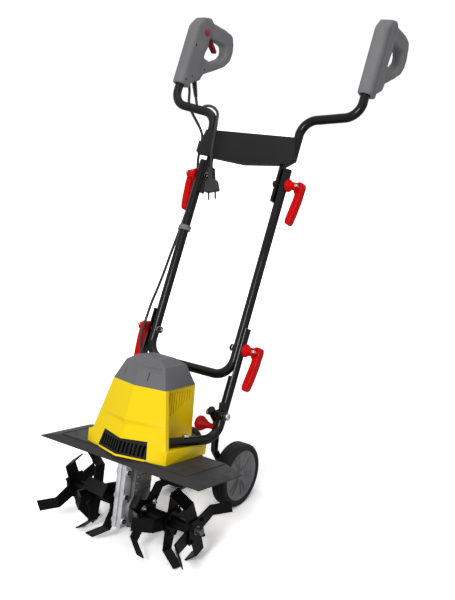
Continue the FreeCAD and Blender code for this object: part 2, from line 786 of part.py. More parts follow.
def make_cap():
    body = new_body("housing_cap", "body")
    shoulder = SEAM + S.cap_rise
    crown = shoulder + S.cap_dome

    def plan(level, prow, half, corner, side, rear):
        sketch = sketch_on(body, "XY_Plane", level)
        polygon(sketch, mirrored([(0.0, -prow), (half, -corner), (side, rear)]))
        return sketch

    def lower(level, wall):
        return plan(level, S.seam_prow - wall, S.seam_half - wall, S.seam_corner_y - wall / 2,
                    S.seam_side_half - wall, S.seam_rear - wall)

    def upper(level, wall):
        return plan(level, S.seam_prow - 15.0 - wall, S.seam_half - 19.0 - wall,
                    S.seam_corner_y - 15.0 - wall / 2, S.seam_side_half - 16.0 - wall,
                    S.seam_rear - 22.0 - wall)

    loft(body, [lower(SEAM, 0.0), upper(shoulder, 0.0)])
    loft(body, [upper(shoulder, 0.0),
                plan(crown, 8.0, 34.0, 2.0, 30.0, 52.0)])
    wall = S.housing_wall
    loft(body, [lower(SEAM, wall), upper(shoulder - wall, wall)], cut=True)
    return keep("housing_cap", body)


# ---------------------------------------------------------------- lower frame

def frame_corner_y():
    """Where the sloping run of the lower frame tube meets its level run."""
    slope = math.tan(math.radians(HANDLE_LEAN - LEAN))
    return float(S.clamp_y) - (float(S.clamp_z) - float(FRAME_LEVEL)) * slope


def frame_bolt_place():
    """On the level run of the left tube."""
    y = float(S.frame_bolt_y)
    share = (y + float(S.frame_end_y)) / (frame_corner_y() + float(S.frame_end_y))
    return float(S.frame_end_x) + (float(FRAME_X) - float(S.frame_end_x)) * share, y


def make_lower_frame():
    lean = HANDLE_LEAN - LEAN
    x = float(FRAME_X)
    clamp_y = float(S.clamp_y)
    clamp_z = float(S.clamp_z)
    low = float(FRAME_LEVEL)
    up = turn_about_x(lean, 0.0, float(S.frame_stub))
    top = (x, clamp_y + up[0], clamp_z + up[1])
    corner = (x, frame_corner_y(), low)
    front = (float(S.frame_end_x), -float(S.frame_end_y), low)
    outer = float(TUBE)
    wall = float(S.tube_wall)
    route = [top, corner, front]
    shape, length, used = tube_shape(route, outer, bend=float(S.mid_bend))
    hollow, length, used = tube_shape(route, outer - wall, bend=float(S.mid_bend))
    # pressed flat where the mid handle swings past
    press = float(PRESS_X)
    reach = float(S.press_reach)
    beside = Vector(press - 60.0, clamp_y, clamp_z)
    shape = shape.cut(Part.makeCylinder(reach, 60.0, beside, Vector(1, 0, 0)))
    hollow = hollow.cut(Part.makeCylinder(reach + wall, 60.0 + wall, beside, Vector(1, 0, 0)))
    shape = shape.cut(hollow)
    for y, z in ((clamp_y, clamp_z), (float(S.pivot_y), float(S.pivot_z)),
                 (float(S.knob_y), float(S.knob_z))):
        hole = Part.makeCylinder(float(BOLT) + 0.1, 60, Vector(x - 30, y, z), Vector(1, 0, 0))
        shape = shape.cut(hole)
    x, y = frame_bolt_place()
    shape = shape.cut(Part.makeCylinder(float(BOLT) + 0.1, 60, Vector(x, y, low - 30)))
    left = keep("lower_frame_left", free_shape("lower_frame_left", shape, "body"))
    keep("lower_frame_right", mirror_of(left, "lower_frame_right"))


def lever_body(name, frame, inner, start):
    """A cam lever: clamp rod with nut, round boss and an arm that bows back to the tube."""
    body = new_body(name, frame)
    boss = S.lever_boss_dia / 2
    elbow = start + S.lever_reach
    nut_end = inner - 6.5
    revolve_about_x(body, [
        (nut_end, 0.0), (nut_end, 7.0), (inner - 0.5, 7.0), (inner - 0.5, BOLT),
        (start, BOLT), (start, boss), (start + 5.0, boss), (start + 11.0, boss - 5.0),
        (elbow, boss - 6.0), (elbow, 0.0)])
    # cam head and arm
    half = S.lever_thick / 2
    tip = -S.lever_length
    sketch = sketch_on(body, "XZ_Plane", -S.lever_deep / 2)
    polygon(sketch, [(elbow - half - 4.0, -10.0), (elbow - half - 4.0, 9.0),
                     (elbow - 3.0, 14.0), (elbow + half - 2.0, 12.0), (elbow + half, 4.0),
                     (elbow + half - 1.0, -26.0), (elbow + half - 5.0, tip + 26.0),
                     (elbow + half - 9.0, tip + 5.0), (elbow + half - 13.0, tip),
                     (elbow - half - 4.0, tip + 2.0), (elbow - half - 6.0, tip + 9.0),
                     (elbow - half - 4.0, tip + 26.0), (elbow - half + 1.0, -26.0),
                     (elbow - half + 1.0, -15.0)])
    pad(body, sketch, S.lever_deep, reverse=True)
    return body


def make_lower_levers():
    lever = lever_body("lower_lever", "mid", S.leg_half - TUBE, FRAME_X + TUBE + 0.1)
    return pair("lower_levers", lever)


def make_upper_levers():
    inner = FLAT_X - S.flat_thick / 2
    lever = lever_body("upper_lever", "upper", inner, S.leg_half + TUBE + 0.1)
    return pair("upper_levers", lever)


def make_pivot_bolts():
    body = new_body("pivot_bolt", "body_pivot")
    inner = FRAME_X - TUBE - S.running_gap - S.bail_dia
    outer = FRAME_X + TUBE
    revolve_about_x(body, [
        (inner - 6.5, 0.0), (inner - 6.5, 7.0), (inner - 0.3, 7.0), (inner - 0.3, BOLT),
        (outer + 0.1, BOLT), (outer + 0.1, 6.0), (outer + 8.0, 6.0), (outer + 8.0, 8.0),
        (outer + 12.0, 8.0), (outer + 14.0, 6.0), (outer + 15.0, 0.0)])
    return pair("pivot_bolts", body)


def make_lock_knobs():
    body = new_body("lock_knob", "body_knob")
    face = FRAME_X - TUBE
    end = face - S.knob_length
    radius = S.knob_dia / 2
    revolve_about_x(body, [
        (end, 0.0), (end, radius - 6.0), (end + 4.0, radius - 1.0), (end + 12.0, radius),
        (end + 19.0, radius - 4.0), (end + 28.0, radius - 9.5), (end + 36.0, 6.5),
        (face - 1.0, 6.5), (face - 1.0, BOLT), (face + TUBE, BOLT), (face + TUBE, 0.0)])
    return pair("lock_knobs", body)


def make_frame_bolts():
    """Bolts that hold the level run of the frame tubes to the housing's skirt."""
    body = new_body("frame_bolt", "frame_bolt")
    sketch = sketch_on(body, "XY_Plane", -TUBE - 11.0)
    circle(sketch, 0.0, 0.0, BOLT)
    pad(body, sketch, TUBE * 2 + 11.5)
    sketch = sketch_on(body, "XY_Plane", TUBE + 0.1)
    circle(sketch, 0.0, 0.0, 8.0)
    pad(body, sketch, 5.0)
    return pair("frame_bolts", body)


# ---------------------------------------------------------------- tine rotor

def make_shaft():
    body = new_body("tine_shaft", "rotor")
    end = S.shaft_length / 2
    step = end - S.shaft_stub
    radius = S.shaft_dia / 2
    revolve_about_x(body, [
        (-end, 0.0), (-end, S.stub_dia / 2), (-step, S.stub_dia / 2), (-step, radius),
        (step, radius), (step, S.stub_dia / 2), (end, S.stub_dia / 2), (end, 0.0)])
    return keep("tine_shaft", body)


STARS = (("inner", S.star_inner_x, 45.0, (1, 1)),
         ("middle", S.star_middle_x, -S.rest_phase_deg, (1, -1)),
         ("outer", S.star_outer_x, S.rest_phase_deg, (-1, 1)))


def make_sleeves():
    body = new_body("tine_sleeve", "rotor")
    end = S.shaft_length / 2 - S.shaft_stub
    bore = S.shaft_dia / 2 + 0.1
    revolve_about_x(body, [(S.sleeve_start, bore), (end, bore), (end, S.sleeve_dia / 2),
                           (S.sleeve_start, S.sleeve_dia / 2)])
    for name, place, phase, bends in STARS:
        sketch = sketch_on(body, "YZ_Plane", place + S.tine_thick / 2 + 0.1)
        half = S.flange_side / 2
        rectangle(sketch, -half, -half, half, half)
        circle(sketch, 0.0, 0.0, S.sleeve_dia / 2 - 1.0)
        pad(body, sketch, S.flange_thick)
    return pair("tine_sleeves", body)


def make_star(name, place, phase, bends):
    """Four arms cut from plate, each with its end bent out of the star's plane."""
    body = new_body(f"tine_star_left_{name}", "rotor")
    thick = S.tine_thick
    sketch = sketch_on(body, "YZ_Plane", place - thick / 2)
    circle(sketch, 0.0, 0.0, S.star_hub_dia / 2)
    circle(sketch, 0.0, 0.0, S.sleeve_dia / 2 + 0.1)
    pad(body, sketch, thick)
    root = S.star_hub_dia / 2 - 6.0
    bend = S.bend_radius_at
    for quarter, side in ((0, bends[0]), (1, bends[1])):
        # one arm and its opposite; the second pair lies a quarter turn on
        sketch = sketch_on(body, "YZ_Plane", place - thick / 2)
        wide = S.arm_width / 2
        narrow = S.tip_width / 2
        near = [(-wide, root), (wide, root), (narrow, bend), (-narrow, bend)]
        far = [(-x, -y) for x, y in near]
        if quarter:
            near = [(-y, x) for x, y in near]
            far = [(-y, x) for x, y in far]
        polygon(sketch, near)
        polygon(sketch, far)
        pad(body, sketch, thick)
        shift = S.tip_length * sine(S.tip_bend_deg) * side
        rise = S.tip_length * cosine(S.tip_bend_deg)
        slant_x = thick / 2 * side
        section = [(place - slant_x, bend - 1.0), (place + slant_x, bend - 1.0),
                   (place + slant_x + shift, bend + rise - thick * 0.6),
                   (place + shift - slant_x * 0.2, bend + rise)]
        plane = "XY_Plane" if quarter else "XZ_Plane"
        sketch = sketch_on(body, plane)
        polygon(sketch, section)
        polygon(sketch, [(x, -y) for x, y in section])
        pad(body, sketch, S.tip_width, both_ways=True)
    turn = FreeCAD.Placement(Vector(), FreeCAD.Rotation(Vector(1, 0, 0), float(phase)))
    body.Placement = FRAMES["rotor"].multiply(turn)
    keep(f"tine_star_left_{name}", body)
    keep(f"tine_star_right_{name}", mirror_of(body, f"tine_star_right_{name}"))


# ---------------------------------------------------------------- wheels

def make_bail():
    """Two legs that draw in between the wheels, and the cross tube that holds the axle."""
    body = new_body("wheel_frame", "bail")
    x = FRAME_X - TUBE - S.running_gap - S.bail_dia / 2
    low = S.bail_low_half
    above_tyre = -S.axle_down + WHEEL_RADIUS + S.tyre_gap
    side = [(x, S.bail_top), (x, -S.bail_straight), (low, above_tyre), (low, -S.axle_down)]
    bent_tube(body, mirrored(side), S.bail_bend, S.bail_dia / 2)
    cross_hole(body, 0.0, 0.0, BOLT + S.running_gap, S.leg_half * 2)
    cross_hole(body, 0.0, -S.axle_down, S.axle_dia / 2 + 0.1, S.leg_half * 2)
    return keep("wheel_frame", body)


def make_axle():
    body = new_body("axle", "axle")
    arm = S.bail_low_half + S.bail_dia / 2
    end = S.wheel_inner_x + S.wheel_width - 11.5
    radius = S.axle_dia / 2
    revolve_about_x(body, [
        (-end, 0.0), (-end, radius), (-S.wheel_inner_x + 0.5, radius),
        (-S.wheel_inner_x + 0.5, 9.0), (-arm - 0.2, 9.0), (-arm - 0.2, radius),
        (arm + 0.2, radius), (arm + 0.2, 9.0), (S.wheel_inner_x - 0.5, 9.0),
        (S.wheel_inner_x - 0.5, radius), (end, radius), (end, 0.0)])
    return keep("axle", body)


def make_wheels():
    rim = new_body("wheel_rim_left", "axle")
    inner = S.wheel_inner_x
    outer = inner + S.wheel_width
    seat = S.rim_dia / 2
    bore = S.axle_dia / 2 + S.running_gap
    revolve_about_x(rim, [
        (inner, bore), (inner, 16.0), (outer - 14.0, 16.0), (outer - 14.0, seat - 6.0),
        (inner + 2.0, seat - 6.0), (inner + 2.0, seat), (outer - 2.0, seat),
        (outer - 2.5, seat - 5.0), (outer - 7.0, seat - 10.0), (outer - 7.0, 0.0),
        (outer - 11.0, 0.0), (outer - 11.0, bore)])
    keep("wheel_rim_left", rim)
    tyre = new_body("tyre_left", "axle")
    seat = seat + 0.2
    revolve_about_x(tyre, [
        (inner, seat), (outer, seat), (outer, WHEEL_RADIUS - 5.0), (outer - 4.0, WHEEL_RADIUS),
        (inner + 4.0, WHEEL_RADIUS), (inner, WHEEL_RADIUS - 5.0)])
    keep("tyre_left", tyre)
    keep("wheel_rim_right", mirror_of(rim, "wheel_rim_right"))
    keep("tyre_right", mirror_of(tyre, "tyre_right"))


# ---------------------------------------------------------------- handle

def make_mid_handle():
    body = new_body("mid_handle", "mid")
    x = S.leg_half
    top = S.clamp_span + S.mid_stub
    bent_tube(body, [(x, top), (x, -S.mid_drop), (-x, -S.mid_drop), (-x, top)],
              S.mid_bend, TUBE, S.tube_wall)
    cross_hole(body, 0.0, 0.0, BOLT + S.running_gap, S.leg_half * 2)
    cross_hole(body, 0.0, S.clamp_span, BOLT + 0.1, S.leg_half * 2)
    return keep("mid_handle", body)


def make_upper_tubes():
    body = new_body("upper_tube_left", "upper")
    x = S.handle_half
    bent_tube(body, [(x, S.round_rise), (x, S.bend1_rise), (S.grip_half, S.bend2_rise),
                     (S.grip_half, S.handle_top)], S.handle_bend, TUBE, S.tube_wall)
    # flattened end, led over into the round tube
    flat = sketch_on(body, "XY_Plane", -S.flat_drop)
    thick = S.flat_thick / 2
    deep = S.flat_width / 2

    def flat_corners():
        return [(FLAT_X - thick, -deep + 4.0), (FLAT_X - thick + 3.0, -deep),
                (FLAT_X + thick - 3.0, -deep), (FLAT_X + thick, -deep + 4.0),
                (FLAT_X + thick, deep - 4.0), (FLAT_X + thick - 3.0, deep),
                (FLAT_X - thick + 3.0, deep), (FLAT_X - thick, deep - 4.0)]

    polygon(flat, flat_corners())
    pad(body, flat, S.flat_drop + S.flat_rise)
    low = sketch_on(body, "XY_Plane", S.flat_rise)
    polygon(low, flat_corners())
    high = sketch_on(body, "XY_Plane", S.round_rise)
    reach = TUBE
    polygon(high, [(x + reach * math.cos(math.radians(a)), reach * math.sin(math.radians(a)))
                   for a in (202.5, 247.5, 292.5, 337.5, 22.5, 67.5, 112.5, 157.5)])
    loft(body, [low, high])
    cross_hole(body, 0.0, 0.0, BOLT + S.running_gap, S.leg_half * 2)
    keep("upper_tube_left", body)
    keep("upper_tube_right", mirror_of(body, "upper_tube_right"))


def make_panel():
    body = new_body("cross_panel", "upper")
    half = S.handle_half + TUBE
    sketch = sketch_on(body, "XZ_Plane", S.panel_front)
    polygon(sketch, mirrored([
        (0.0, S.panel_low - S.panel_keel),
        (half - 3.0, S.panel_low),
        (half, S.panel_low + 14.0),
        (half - 8.0, S.panel_high),
    ]))
    pad(body, sketch, S.panel_front - 1.0, reverse=True)
    start = S.panel_low - 20.0
    room = S.running_gap
    deep = S.flat_width / 2 + room
    for side in (1, -1):
        sketch = sketch_on(body, "XY_Plane", start)
        circle(sketch, S.handle_half * side, 0.0, TUBE + room)
        pocket(body, sketch, S.panel_high - S.panel_low + 40.0, reverse=True)
        # round the tube where it goes over from flat to round
        sketch = sketch_on(body, "XY_Plane", start)
        near = (FLAT_X - S.flat_thick / 2 - room) * side
        far = (half + room) * side
        polygon(sketch, [(near, -deep), (far, -deep), (far, deep), (near, deep)])
        pocket(body, sketch, S.round_rise + room - start, reverse=True)
    return keep("cross_panel", body)


def grip_outline():
    """The closed handle seen from the side: post, hand bar, outer bar and brace."""
    low, high = S.grip_low, S.grip_high
    return [(-15.0, low), (22.0, low), (22.0, low + 13.87), (56.4, high - 160.52),
            (60.0, high - 142.0), (106.0, high - 108.0), (136.0, high - 84.0),
            (151.0, high - 60.0), (152.0, high - 36.0), (144.0, high - 11.0),
            (136.0, high + 1.0), (126.0, high + 4.0), (102.0, high + 4.0), (46.0, high - 3.0),
            (30.0, high + 2.0), (6.0, high - 7.0), (-15.0, high - 40.0)]


def grip_window():
    high = S.grip_high
    return [(44.0, high - 102.0), (72.0, high - 102.0), (96.0, high - 90.0),
            (118.0, high - 72.0), (128.0, high - 56.0), (127.0, high - 46.0),
            (119.0, high - 35.0), (108.0, high - 33.0), (52.0, high - 42.0),
            (46.0, high - 52.0), (50.0, high - 68.0), (44.0, high - 86.0)]


def make_grip(name, side):
    body = new_body(name, name)
    sketch = sketch_on(body, "YZ_Plane", 0.0 - S.loop_thick / 2)
    polygon(sketch, grip_outline())
    polygon(sketch, grip_window())
    pad(body, sketch, S.loop_thick)
    # the post is thicker than the loop, with its front edges taken off
    low, high = S.grip_low, S.grip_high
    half = S.grip_thick / 2
    edge = S.grip_edge
    sketch = sketch_on(body, "YZ_Plane", 0.0 - half)
    polygon(sketch, [(-15.0, low), (22.0, low), (22.0, low + 14.0), (45.0, high - 165.0),
                     (40.0, high - 102.0), (46.0, high - 68.0), (42.0, high - 52.0),
                     (46.0, high - 42.0), (40.0, high - 4.0), (30.0, high + 2.0),
                     (6.0, high - 7.0), (-15.0, high - 40.0)])
    pad(body, sketch, S.grip_thick)
    for turn in (1, -1):
        sketch = sketch_on(body, "XY_Plane", low - 1.0)
        polygon(sketch, [(half * turn + 1.0 * turn, -16.0), (half * turn - edge * turn, -16.0),
                         (half * turn - edge * turn * 0.35, edge * 0.35 - 15.0),
                         (half * turn + 1.0 * turn, edge - 14.0)])
        pocket(body, sketch, high - low + 10.0, reverse=True)
    # socket for the tube
    sketch = sketch_on(body, "XY_Plane", S.grip_low - 5.0)
    circle(sketch, 0.0, 0.0, TUBE + 0.8)
    pocket(body, sketch, S.handle_top - S.grip_low + 6.0, reverse=True)
    return keep(name, body)


def make_controls():
    high = S.grip_high
    trigger = new_body("trigger", "switch_grip")
    sketch = sketch_on(trigger, "YZ_Plane", -6.0)
    polygon(sketch, [(54.0, high - 42.0), (64.0, high - 40.4), (78.0, high - 48.0),
                     (96.0, high - 59.0), (96.0, high - 66.0), (89.0, high - 68.0),
                     (72.0, high - 59.0), (55.0, high - 50.0)])
    pad(trigger, sketch, 12.0)
    keep("trigger", trigger)
    button = new_body("safety_button", "switch_grip")
    side = S.grip_thick / 2
    radius = S.button_dia / 2
    revolve_about_x(button, [(side + 0.1, 0.0), (side + 0.1, radius), (side + 4.0, radius),
                             (side + 6.0, radius - 2.0), (side + 6.0, 0.0)])
    button.Placement = FRAMES["switch_grip"].multiply(
        FreeCAD.Placement(Vector(0, 25, float(high) - 40), FreeCAD.Rotation()))
    keep("safety_button", button)


# ---------------------------------------------------------------- cables

def make_cable(name, frame, points):
    radius = float(S.cable_dia) / 2
    shape, length, used = tube_shape(points, radius)
    print(f"{name}: length {length:.0f}, volume ratio "
          f"{shape.Volume / (math.pi * radius ** 2 * length):.4f}, radii "
          + ", ".join(f"{r:.0f}" for r in used))
    return keep(name, free_shape(name, shape, frame))


# Each run lies in the frame of the piece that carries it: the upper handle, the mid handle
# and, for the last, the body.  Places across the machine are worked out from the tubes that
# carry the cable, so the runs follow when a width changes.

CLIP_X = S.handle_half + TUBE + 0.2 + S.clip_wall + S.cable_room + CABLE
RING_X = S.leg_half + TUBE + 0.1 + S.clip_wall + S.cable_room + CABLE
INLET_X = 46.0


def towards_grip(share):
    """On the right side: 0 at the cable clip and 1 over the grip."""
    return -float(CLIP_X + (S.grip_half - CLIP_X) * share)


def beside_leg(out):
    """On the right side, a distance outside the cable ring's hole."""
    return -float(RING_X) - out


def towards_frame(share):
    """On the right side: 0 at the cable inlet of the cap and 1 outside the mid handle's swing."""
    return -INLET_X - (float(PRESS_X + S.cable_swing_room) - INLET_X) * share


CORD_SLEEVE = ((0.0, 49.0, 268.4), (0.0, 73.3, 233.0))
CORD_START = [
    (towards_grip(0.959), 73.1, 233.0), (towards_grip(0.953), 83.0, 218.5),
    (towards_grip(0.87), 83.0, 201.0), (towards_grip(0.74), 70.0, 196.5),
    (towards_grip(0.55), 51.0, 199.5), (towards_grip(0.318), 34.0, 196.5),
    (towards_grip(0.102), 20.0, 187.5)]
POWER_CORD = CORD_START + [
    (-133.0, 8.0, 173.0), (-115.0, -9.0, 156.0), (-102.0, -24.0, 133.0),
    (-92.0, -30.0, 107.0), (-89.0, -30.5, 76.0), (-84.0, -29.0, 43.0), (-76.0, -25.0, 13.0)]
CABLE_UPPER = [
    (towards_grip(0.982), 30.9, 255.95), (towards_grip(0.976), 43.8, 237.15),
    (towards_grip(0.955), 47.0, 214.0), (towards_grip(0.83), 38.0, 190.0),
    (towards_grip(0.6), 22.5, 167.0), (towards_grip(0.36), 10.0, 142.0),
    (towards_grip(0.13), 1.0, 117.0), (towards_grip(0.0), -0.5, 91.0),
    (towards_grip(0.0), -0.5, 51.0)]
CABLE_MID = [
    (beside_leg(-0.8), 13.0, 345.0), (beside_leg(-0.8), 8.5, 310.0),
    (beside_leg(0.0), 5.0, 262.0), (beside_leg(6.2), 4.0, 195.0),
    (beside_leg(7.7), 0.0, 130.0), (beside_leg(3.2), -14.0, 85.0)]
CABLE_LOWER = [
    (towards_frame(0.996), 159.5, 425.0), (towards_frame(1.001), 147.0, 387.0),
    (towards_frame(0.98), 134.5, 350.0), (towards_frame(0.784), 126.0, 322.0),
    (towards_frame(0.529), 125.0, 304.0), (towards_frame(0.275), 121.0, 290.0),
    (towards_frame(0.084), 112.0, 279.0), (towards_frame(0.0), 95.5, 272.0)]


def make_cables():
    make_cable("power_cord", "upper", POWER_CORD)
    make_cable("cable_upper", "upper", CABLE_UPPER)
    make_cable("cable_mid", "mid", CABLE_MID)
    make_cable("cable_lower", "body", CABLE_LOWER)


def make_strain_relief():
    """Rubber sleeve where the power cord leaves the switch grip."""
    start, end = (Vector(*p) for p in CORD_SLEEVE)
    along = end - start
    sleeve = doc.addObject("Part::Cone", "strain_relief")
    bind(sleeve, "Radius1", S.cable_dia / 2 + 4.5)
    bind(sleeve, "Radius2", S.cable_dia / 2 + 1.5)
    bind(sleeve, "Height", along.Length)
    local = FreeCAD.Placement(start, FreeCAD.Rotation(Vector(0, 0, 1), along))
    sleeve.Placement = FRAMES["switch_grip"].multiply(local)
    return keep("strain_relief", sleeve)


def make_plug():
    """Two-pin plug that hangs from the end of the power cord, pins down."""
    end = Vector(*POWER_CORD[-1])
    along = end - Vector(*POWER_CORD[-2])
    turn = FreeCAD.Rotation(Vector(0, 0, -1), along)
    FRAMES["plug"] = FRAMES["upper"].multiply(FreeCAD.Placement(end, turn))
    body = new_body("power_plug", "plug")
    wide = S.plug_width / 2
    sketch = sketch_on(body, "XZ_Plane")
    polygon(sketch, mirrored([
        (S.cable_dia / 2 + 2.0, 0.0), (S.cable_dia / 2 + 3.0, -S.plug_neck),
        (wide - 4.0, -S.plug_neck - 8.0),
        (wide, -S.plug_length + 3.0), (wide - 2.0, -S.plug_length)]))
    pad(body, sketch, S.plug_thick, both_ways=True)
    sketch = sketch_on(body, "XY_Plane", 1.0 - S.plug_length)
    for side in (1, -1):
        circle(sketch, S.pin_pitch / 2 * side, 0.0, S.pin_dia / 2)
    pad(body, sketch, S.pin_length + 1.0, reverse=True)
    return keep("power_plug", body)


def make_cable_clip():
    """Block that holds the motor cable beside the upper tube."""
    body = new_body("cable_clip", "upper")
    inner = S.handle_half + TUBE + 0.2
    hole = CABLE + S.cable_room
    sketch = sketch_on(body, "XY_Plane", S.clip_low)
    rectangle(sketch, -(CLIP_X + hole + S.clip_wall), -8.0, -inner, 8.0)
    circle(sketch, -CLIP_X, -0.5, hole)
    pad(body, sketch, S.clip_height)
    return keep("cable_clip", body)


def make_cable_ring():
    """Ring that holds the motor cable to the leg of the mid handle."""
    body = new_body("cable_ring", "mid")
    hole = CABLE + S.cable_room
    level = CABLE_MID[2][1]
    for x, y, radius in ((-S.leg_half, 0.0, TUBE + S.ring_wall),
                         (-RING_X, level, hole + S.clip_wall)):
        sketch = sketch_on(body, "XY_Plane", S.ring_rise)
        circle(sketch, x, y, radius)
        pad(body, sketch, S.ring_height)
    for x, y, radius in ((-S.leg_half, 0.0, TUBE + 0.1), (-RING_X, level, hole)):
        sketch = sketch_on(body, "XY_Plane", S.ring_rise - 1.0)
        circle(sketch, x, y, radius)
        pocket(body, sketch, S.ring_height + 2.0, reverse=True)
    return keep("cable_ring", body)


for name, side in (("switch_grip", -1), ("plain_grip", 1)):
    toe = FreeCAD.Rotation(Vector(0, 0, 1), side * float(S.grip_toe_deg))
    FRAMES[name] = FRAMES["upper"].multiply(
        FreeCAD.Placement(Vector(float(S.grip_half) * side, 0, 0), toe))
for name, at_y, at_z in (("body_pivot", S.pivot_y, S.pivot_z), ("body_knob", S.knob_y, S.knob_z)):
    place = body_point(at_y, at_z)
    FRAMES[name] = frame_at(place[0], place[1], LEAN)
bolt_place = Vector(*frame_bolt_place(), float(FRAME_LEVEL))
FRAMES["frame_bolt"] = FRAMES["body"].multiply(FreeCAD.Placement(bolt_place, FreeCAD.Rotation()))

make_gearbox()
make_motor()
make_guard()
make_housing()
make_grille()
make_cap()
make_lower_frame()
make_lower_levers()
make_upper_levers()
make_pivot_bolts()
make_lock_knobs()
make_frame_bolts()
make_shaft()
make_sleeves()
for star in STARS:
    make_star(*star)
make_bail()
make_axle()
make_wheels()
make_mid_handle()
make_upper_tubes()
make_panel()
make_grip("switch_grip", -1)
make_grip("plain_grip", 1)
make_controls()
make_cables()
make_strain_relief()
make_plug()
make_cable_clip()
make_cable_ring()

# ---------------------------------------------------------------- checks and export

doc.recompute()
faults = []
for obj in doc.Objects:
    if "Invalid" in obj.State or "Error" in obj.State:
        faults.append(f"{obj.Name}: {obj.State}")
for name, obj in NODES:
    if obj.Shape.isNull() or not obj.Shape.isValid():
        faults.append(f"{name}: shape is not valid")
if faults:
    raise RuntimeError("; ".join(faults))
box = FreeCAD.BoundBox()
for name, obj in NODES:
    obj.Shape.exportStep(f"parts/{name}.step")
    box.add(obj.Shape.BoundBox)
print(len(NODES), "nodes", box)
print("shaft height", SHAFT_Z, "axle", AXLE, "lower clamp", LOWER_CLAMP, "upper", UPPER_CLAMP,
      "wheel pivot", WHEEL_PIVOT)
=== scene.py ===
"""Looks of an electric tiller: moulded housing, bladed rotor, folding handle and wheels.

Run as a script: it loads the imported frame, dresses every part and sets up the stage.
"""

import json
import math

import bmesh
import bpy
from mathutils import Matrix, Vector


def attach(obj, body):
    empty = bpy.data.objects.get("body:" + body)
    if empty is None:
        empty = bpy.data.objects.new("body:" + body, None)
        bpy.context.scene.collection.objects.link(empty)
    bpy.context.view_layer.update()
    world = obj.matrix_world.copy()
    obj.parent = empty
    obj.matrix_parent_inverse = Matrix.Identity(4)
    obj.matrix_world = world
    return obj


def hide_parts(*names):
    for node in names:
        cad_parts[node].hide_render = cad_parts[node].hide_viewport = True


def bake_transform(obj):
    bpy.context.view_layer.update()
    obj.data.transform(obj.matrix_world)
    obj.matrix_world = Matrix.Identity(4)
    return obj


bl_info = {
    "name": "Electric tiller looks",
    "version": (1, 0, 0),
    "blender": (4, 2, 0),
    "location": "View3D > Sidebar > Tiller",
    "description": "Builds the finishes and fine parts of an electric tiller",
    "category": "Object",
}

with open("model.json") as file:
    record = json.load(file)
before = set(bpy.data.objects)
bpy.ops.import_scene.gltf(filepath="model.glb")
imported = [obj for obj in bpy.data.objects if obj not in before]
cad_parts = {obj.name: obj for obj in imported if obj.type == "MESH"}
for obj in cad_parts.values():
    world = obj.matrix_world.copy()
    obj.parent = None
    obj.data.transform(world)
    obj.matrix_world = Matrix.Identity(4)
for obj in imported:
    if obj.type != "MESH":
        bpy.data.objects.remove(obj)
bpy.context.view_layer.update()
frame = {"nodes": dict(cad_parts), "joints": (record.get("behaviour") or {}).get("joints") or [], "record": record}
NODES = frame["nodes"]
PINS = {joint["name"]: Vector(joint["pos_m"]) for joint in frame["joints"]}

MM = 0.001
BODY_LEAN = math.radians(12.4)
HANDLE_LEAN = math.radians(28.3)
GRIP_TOE = math.radians(4.0)
GRIP_OUT = 270.0


def leaned(origin, lean, toe=0.0):
    """A frame in millimetres at origin, whose Z leans to the rear."""
    turned = Matrix.Rotation(-lean, 4, "X") @ Matrix.Rotation(toe, 4, "Z")
    return Matrix.Translation(origin) @ turned @ Matrix.Scale(MM, 4)


SHAFT = leaned(PINS["tine_spin"], BODY_LEAN)
ROTOR = leaned(PINS["tine_spin"], 0.0)
MID = leaned(PINS["lower_fold"], HANDLE_LEAN)
UPPER = leaned(PINS["upper_fold"], HANDLE_LEAN)
AXLE = leaned(Vector((0.0, *PINS["wheel_left_spin"][1:])), 0.0)
SWITCH_GRIP = UPPER @ Matrix.Translation((-GRIP_OUT, 0, 0)) @ Matrix.Rotation(-GRIP_TOE, 4, "Z")
PLAIN_GRIP = UPPER @ Matrix.Translation((GRIP_OUT, 0, 0)) @ Matrix.Rotation(GRIP_TOE, 4, "Z")

# The cord's and cables' routes, in metres.
POWER_CORD = (
    (-0.2649, 0.2783, 0.9591), (-0.2641, 0.2801, 0.9416), (-0.2537, 0.2719, 0.9262),
    (-0.2373, 0.2583, 0.9284), (-0.2135, 0.2430, 0.9400), (-0.1843, 0.2266, 0.9454),
    (-0.1572, 0.2100, 0.9442), (-0.1330, 0.1925, 0.9371), (-0.1150, 0.1695, 0.9302),
    (-0.1020, 0.1454, 0.9170), (-0.0920, 0.1278, 0.8970), (-0.0890, 0.1127, 0.8699),
    (-0.0840, 0.0983, 0.8402), (-0.0760, 0.0876, 0.8119))
CABLE_UPPER = (
    (-0.2677, 0.2520, 0.9993), (-0.2670, 0.2545, 0.9766), (-0.2643, 0.2463, 0.9547),
    (-0.2486, 0.2270, 0.9378), (-0.2198, 0.2025, 0.9249), (-0.1896, 0.1796, 0.9088),
    (-0.1607, 0.1598, 0.8911), (-0.1444, 0.1462, 0.8689), (-0.1444, 0.1272, 0.8337))
CABLE_MID = (
    (-0.1385, 0.0877, 0.7318), (-0.1385, 0.0671, 0.7031), (-0.1393, 0.0413, 0.6625),
    (-0.1455, 0.0086, 0.6040), (-0.1470, -0.0257, 0.5486), (-0.1425, -0.0594, 0.5156))
CABLE_LOWER = (
    (-0.1429, -0.0862, 0.4790), (-0.1434, -0.1066, 0.4445), (-0.1414, -0.1267, 0.4111),
    (-0.1223, -0.1410, 0.3856), (-0.0975, -0.1459, 0.3682), (-0.0728, -0.1528, 0.3554),
    (-0.0542, -0.1639, 0.3466), (-0.0460, -0.1816, 0.3433))
LOWER_BEND = (-0.1425, -0.0740, 0.4995)

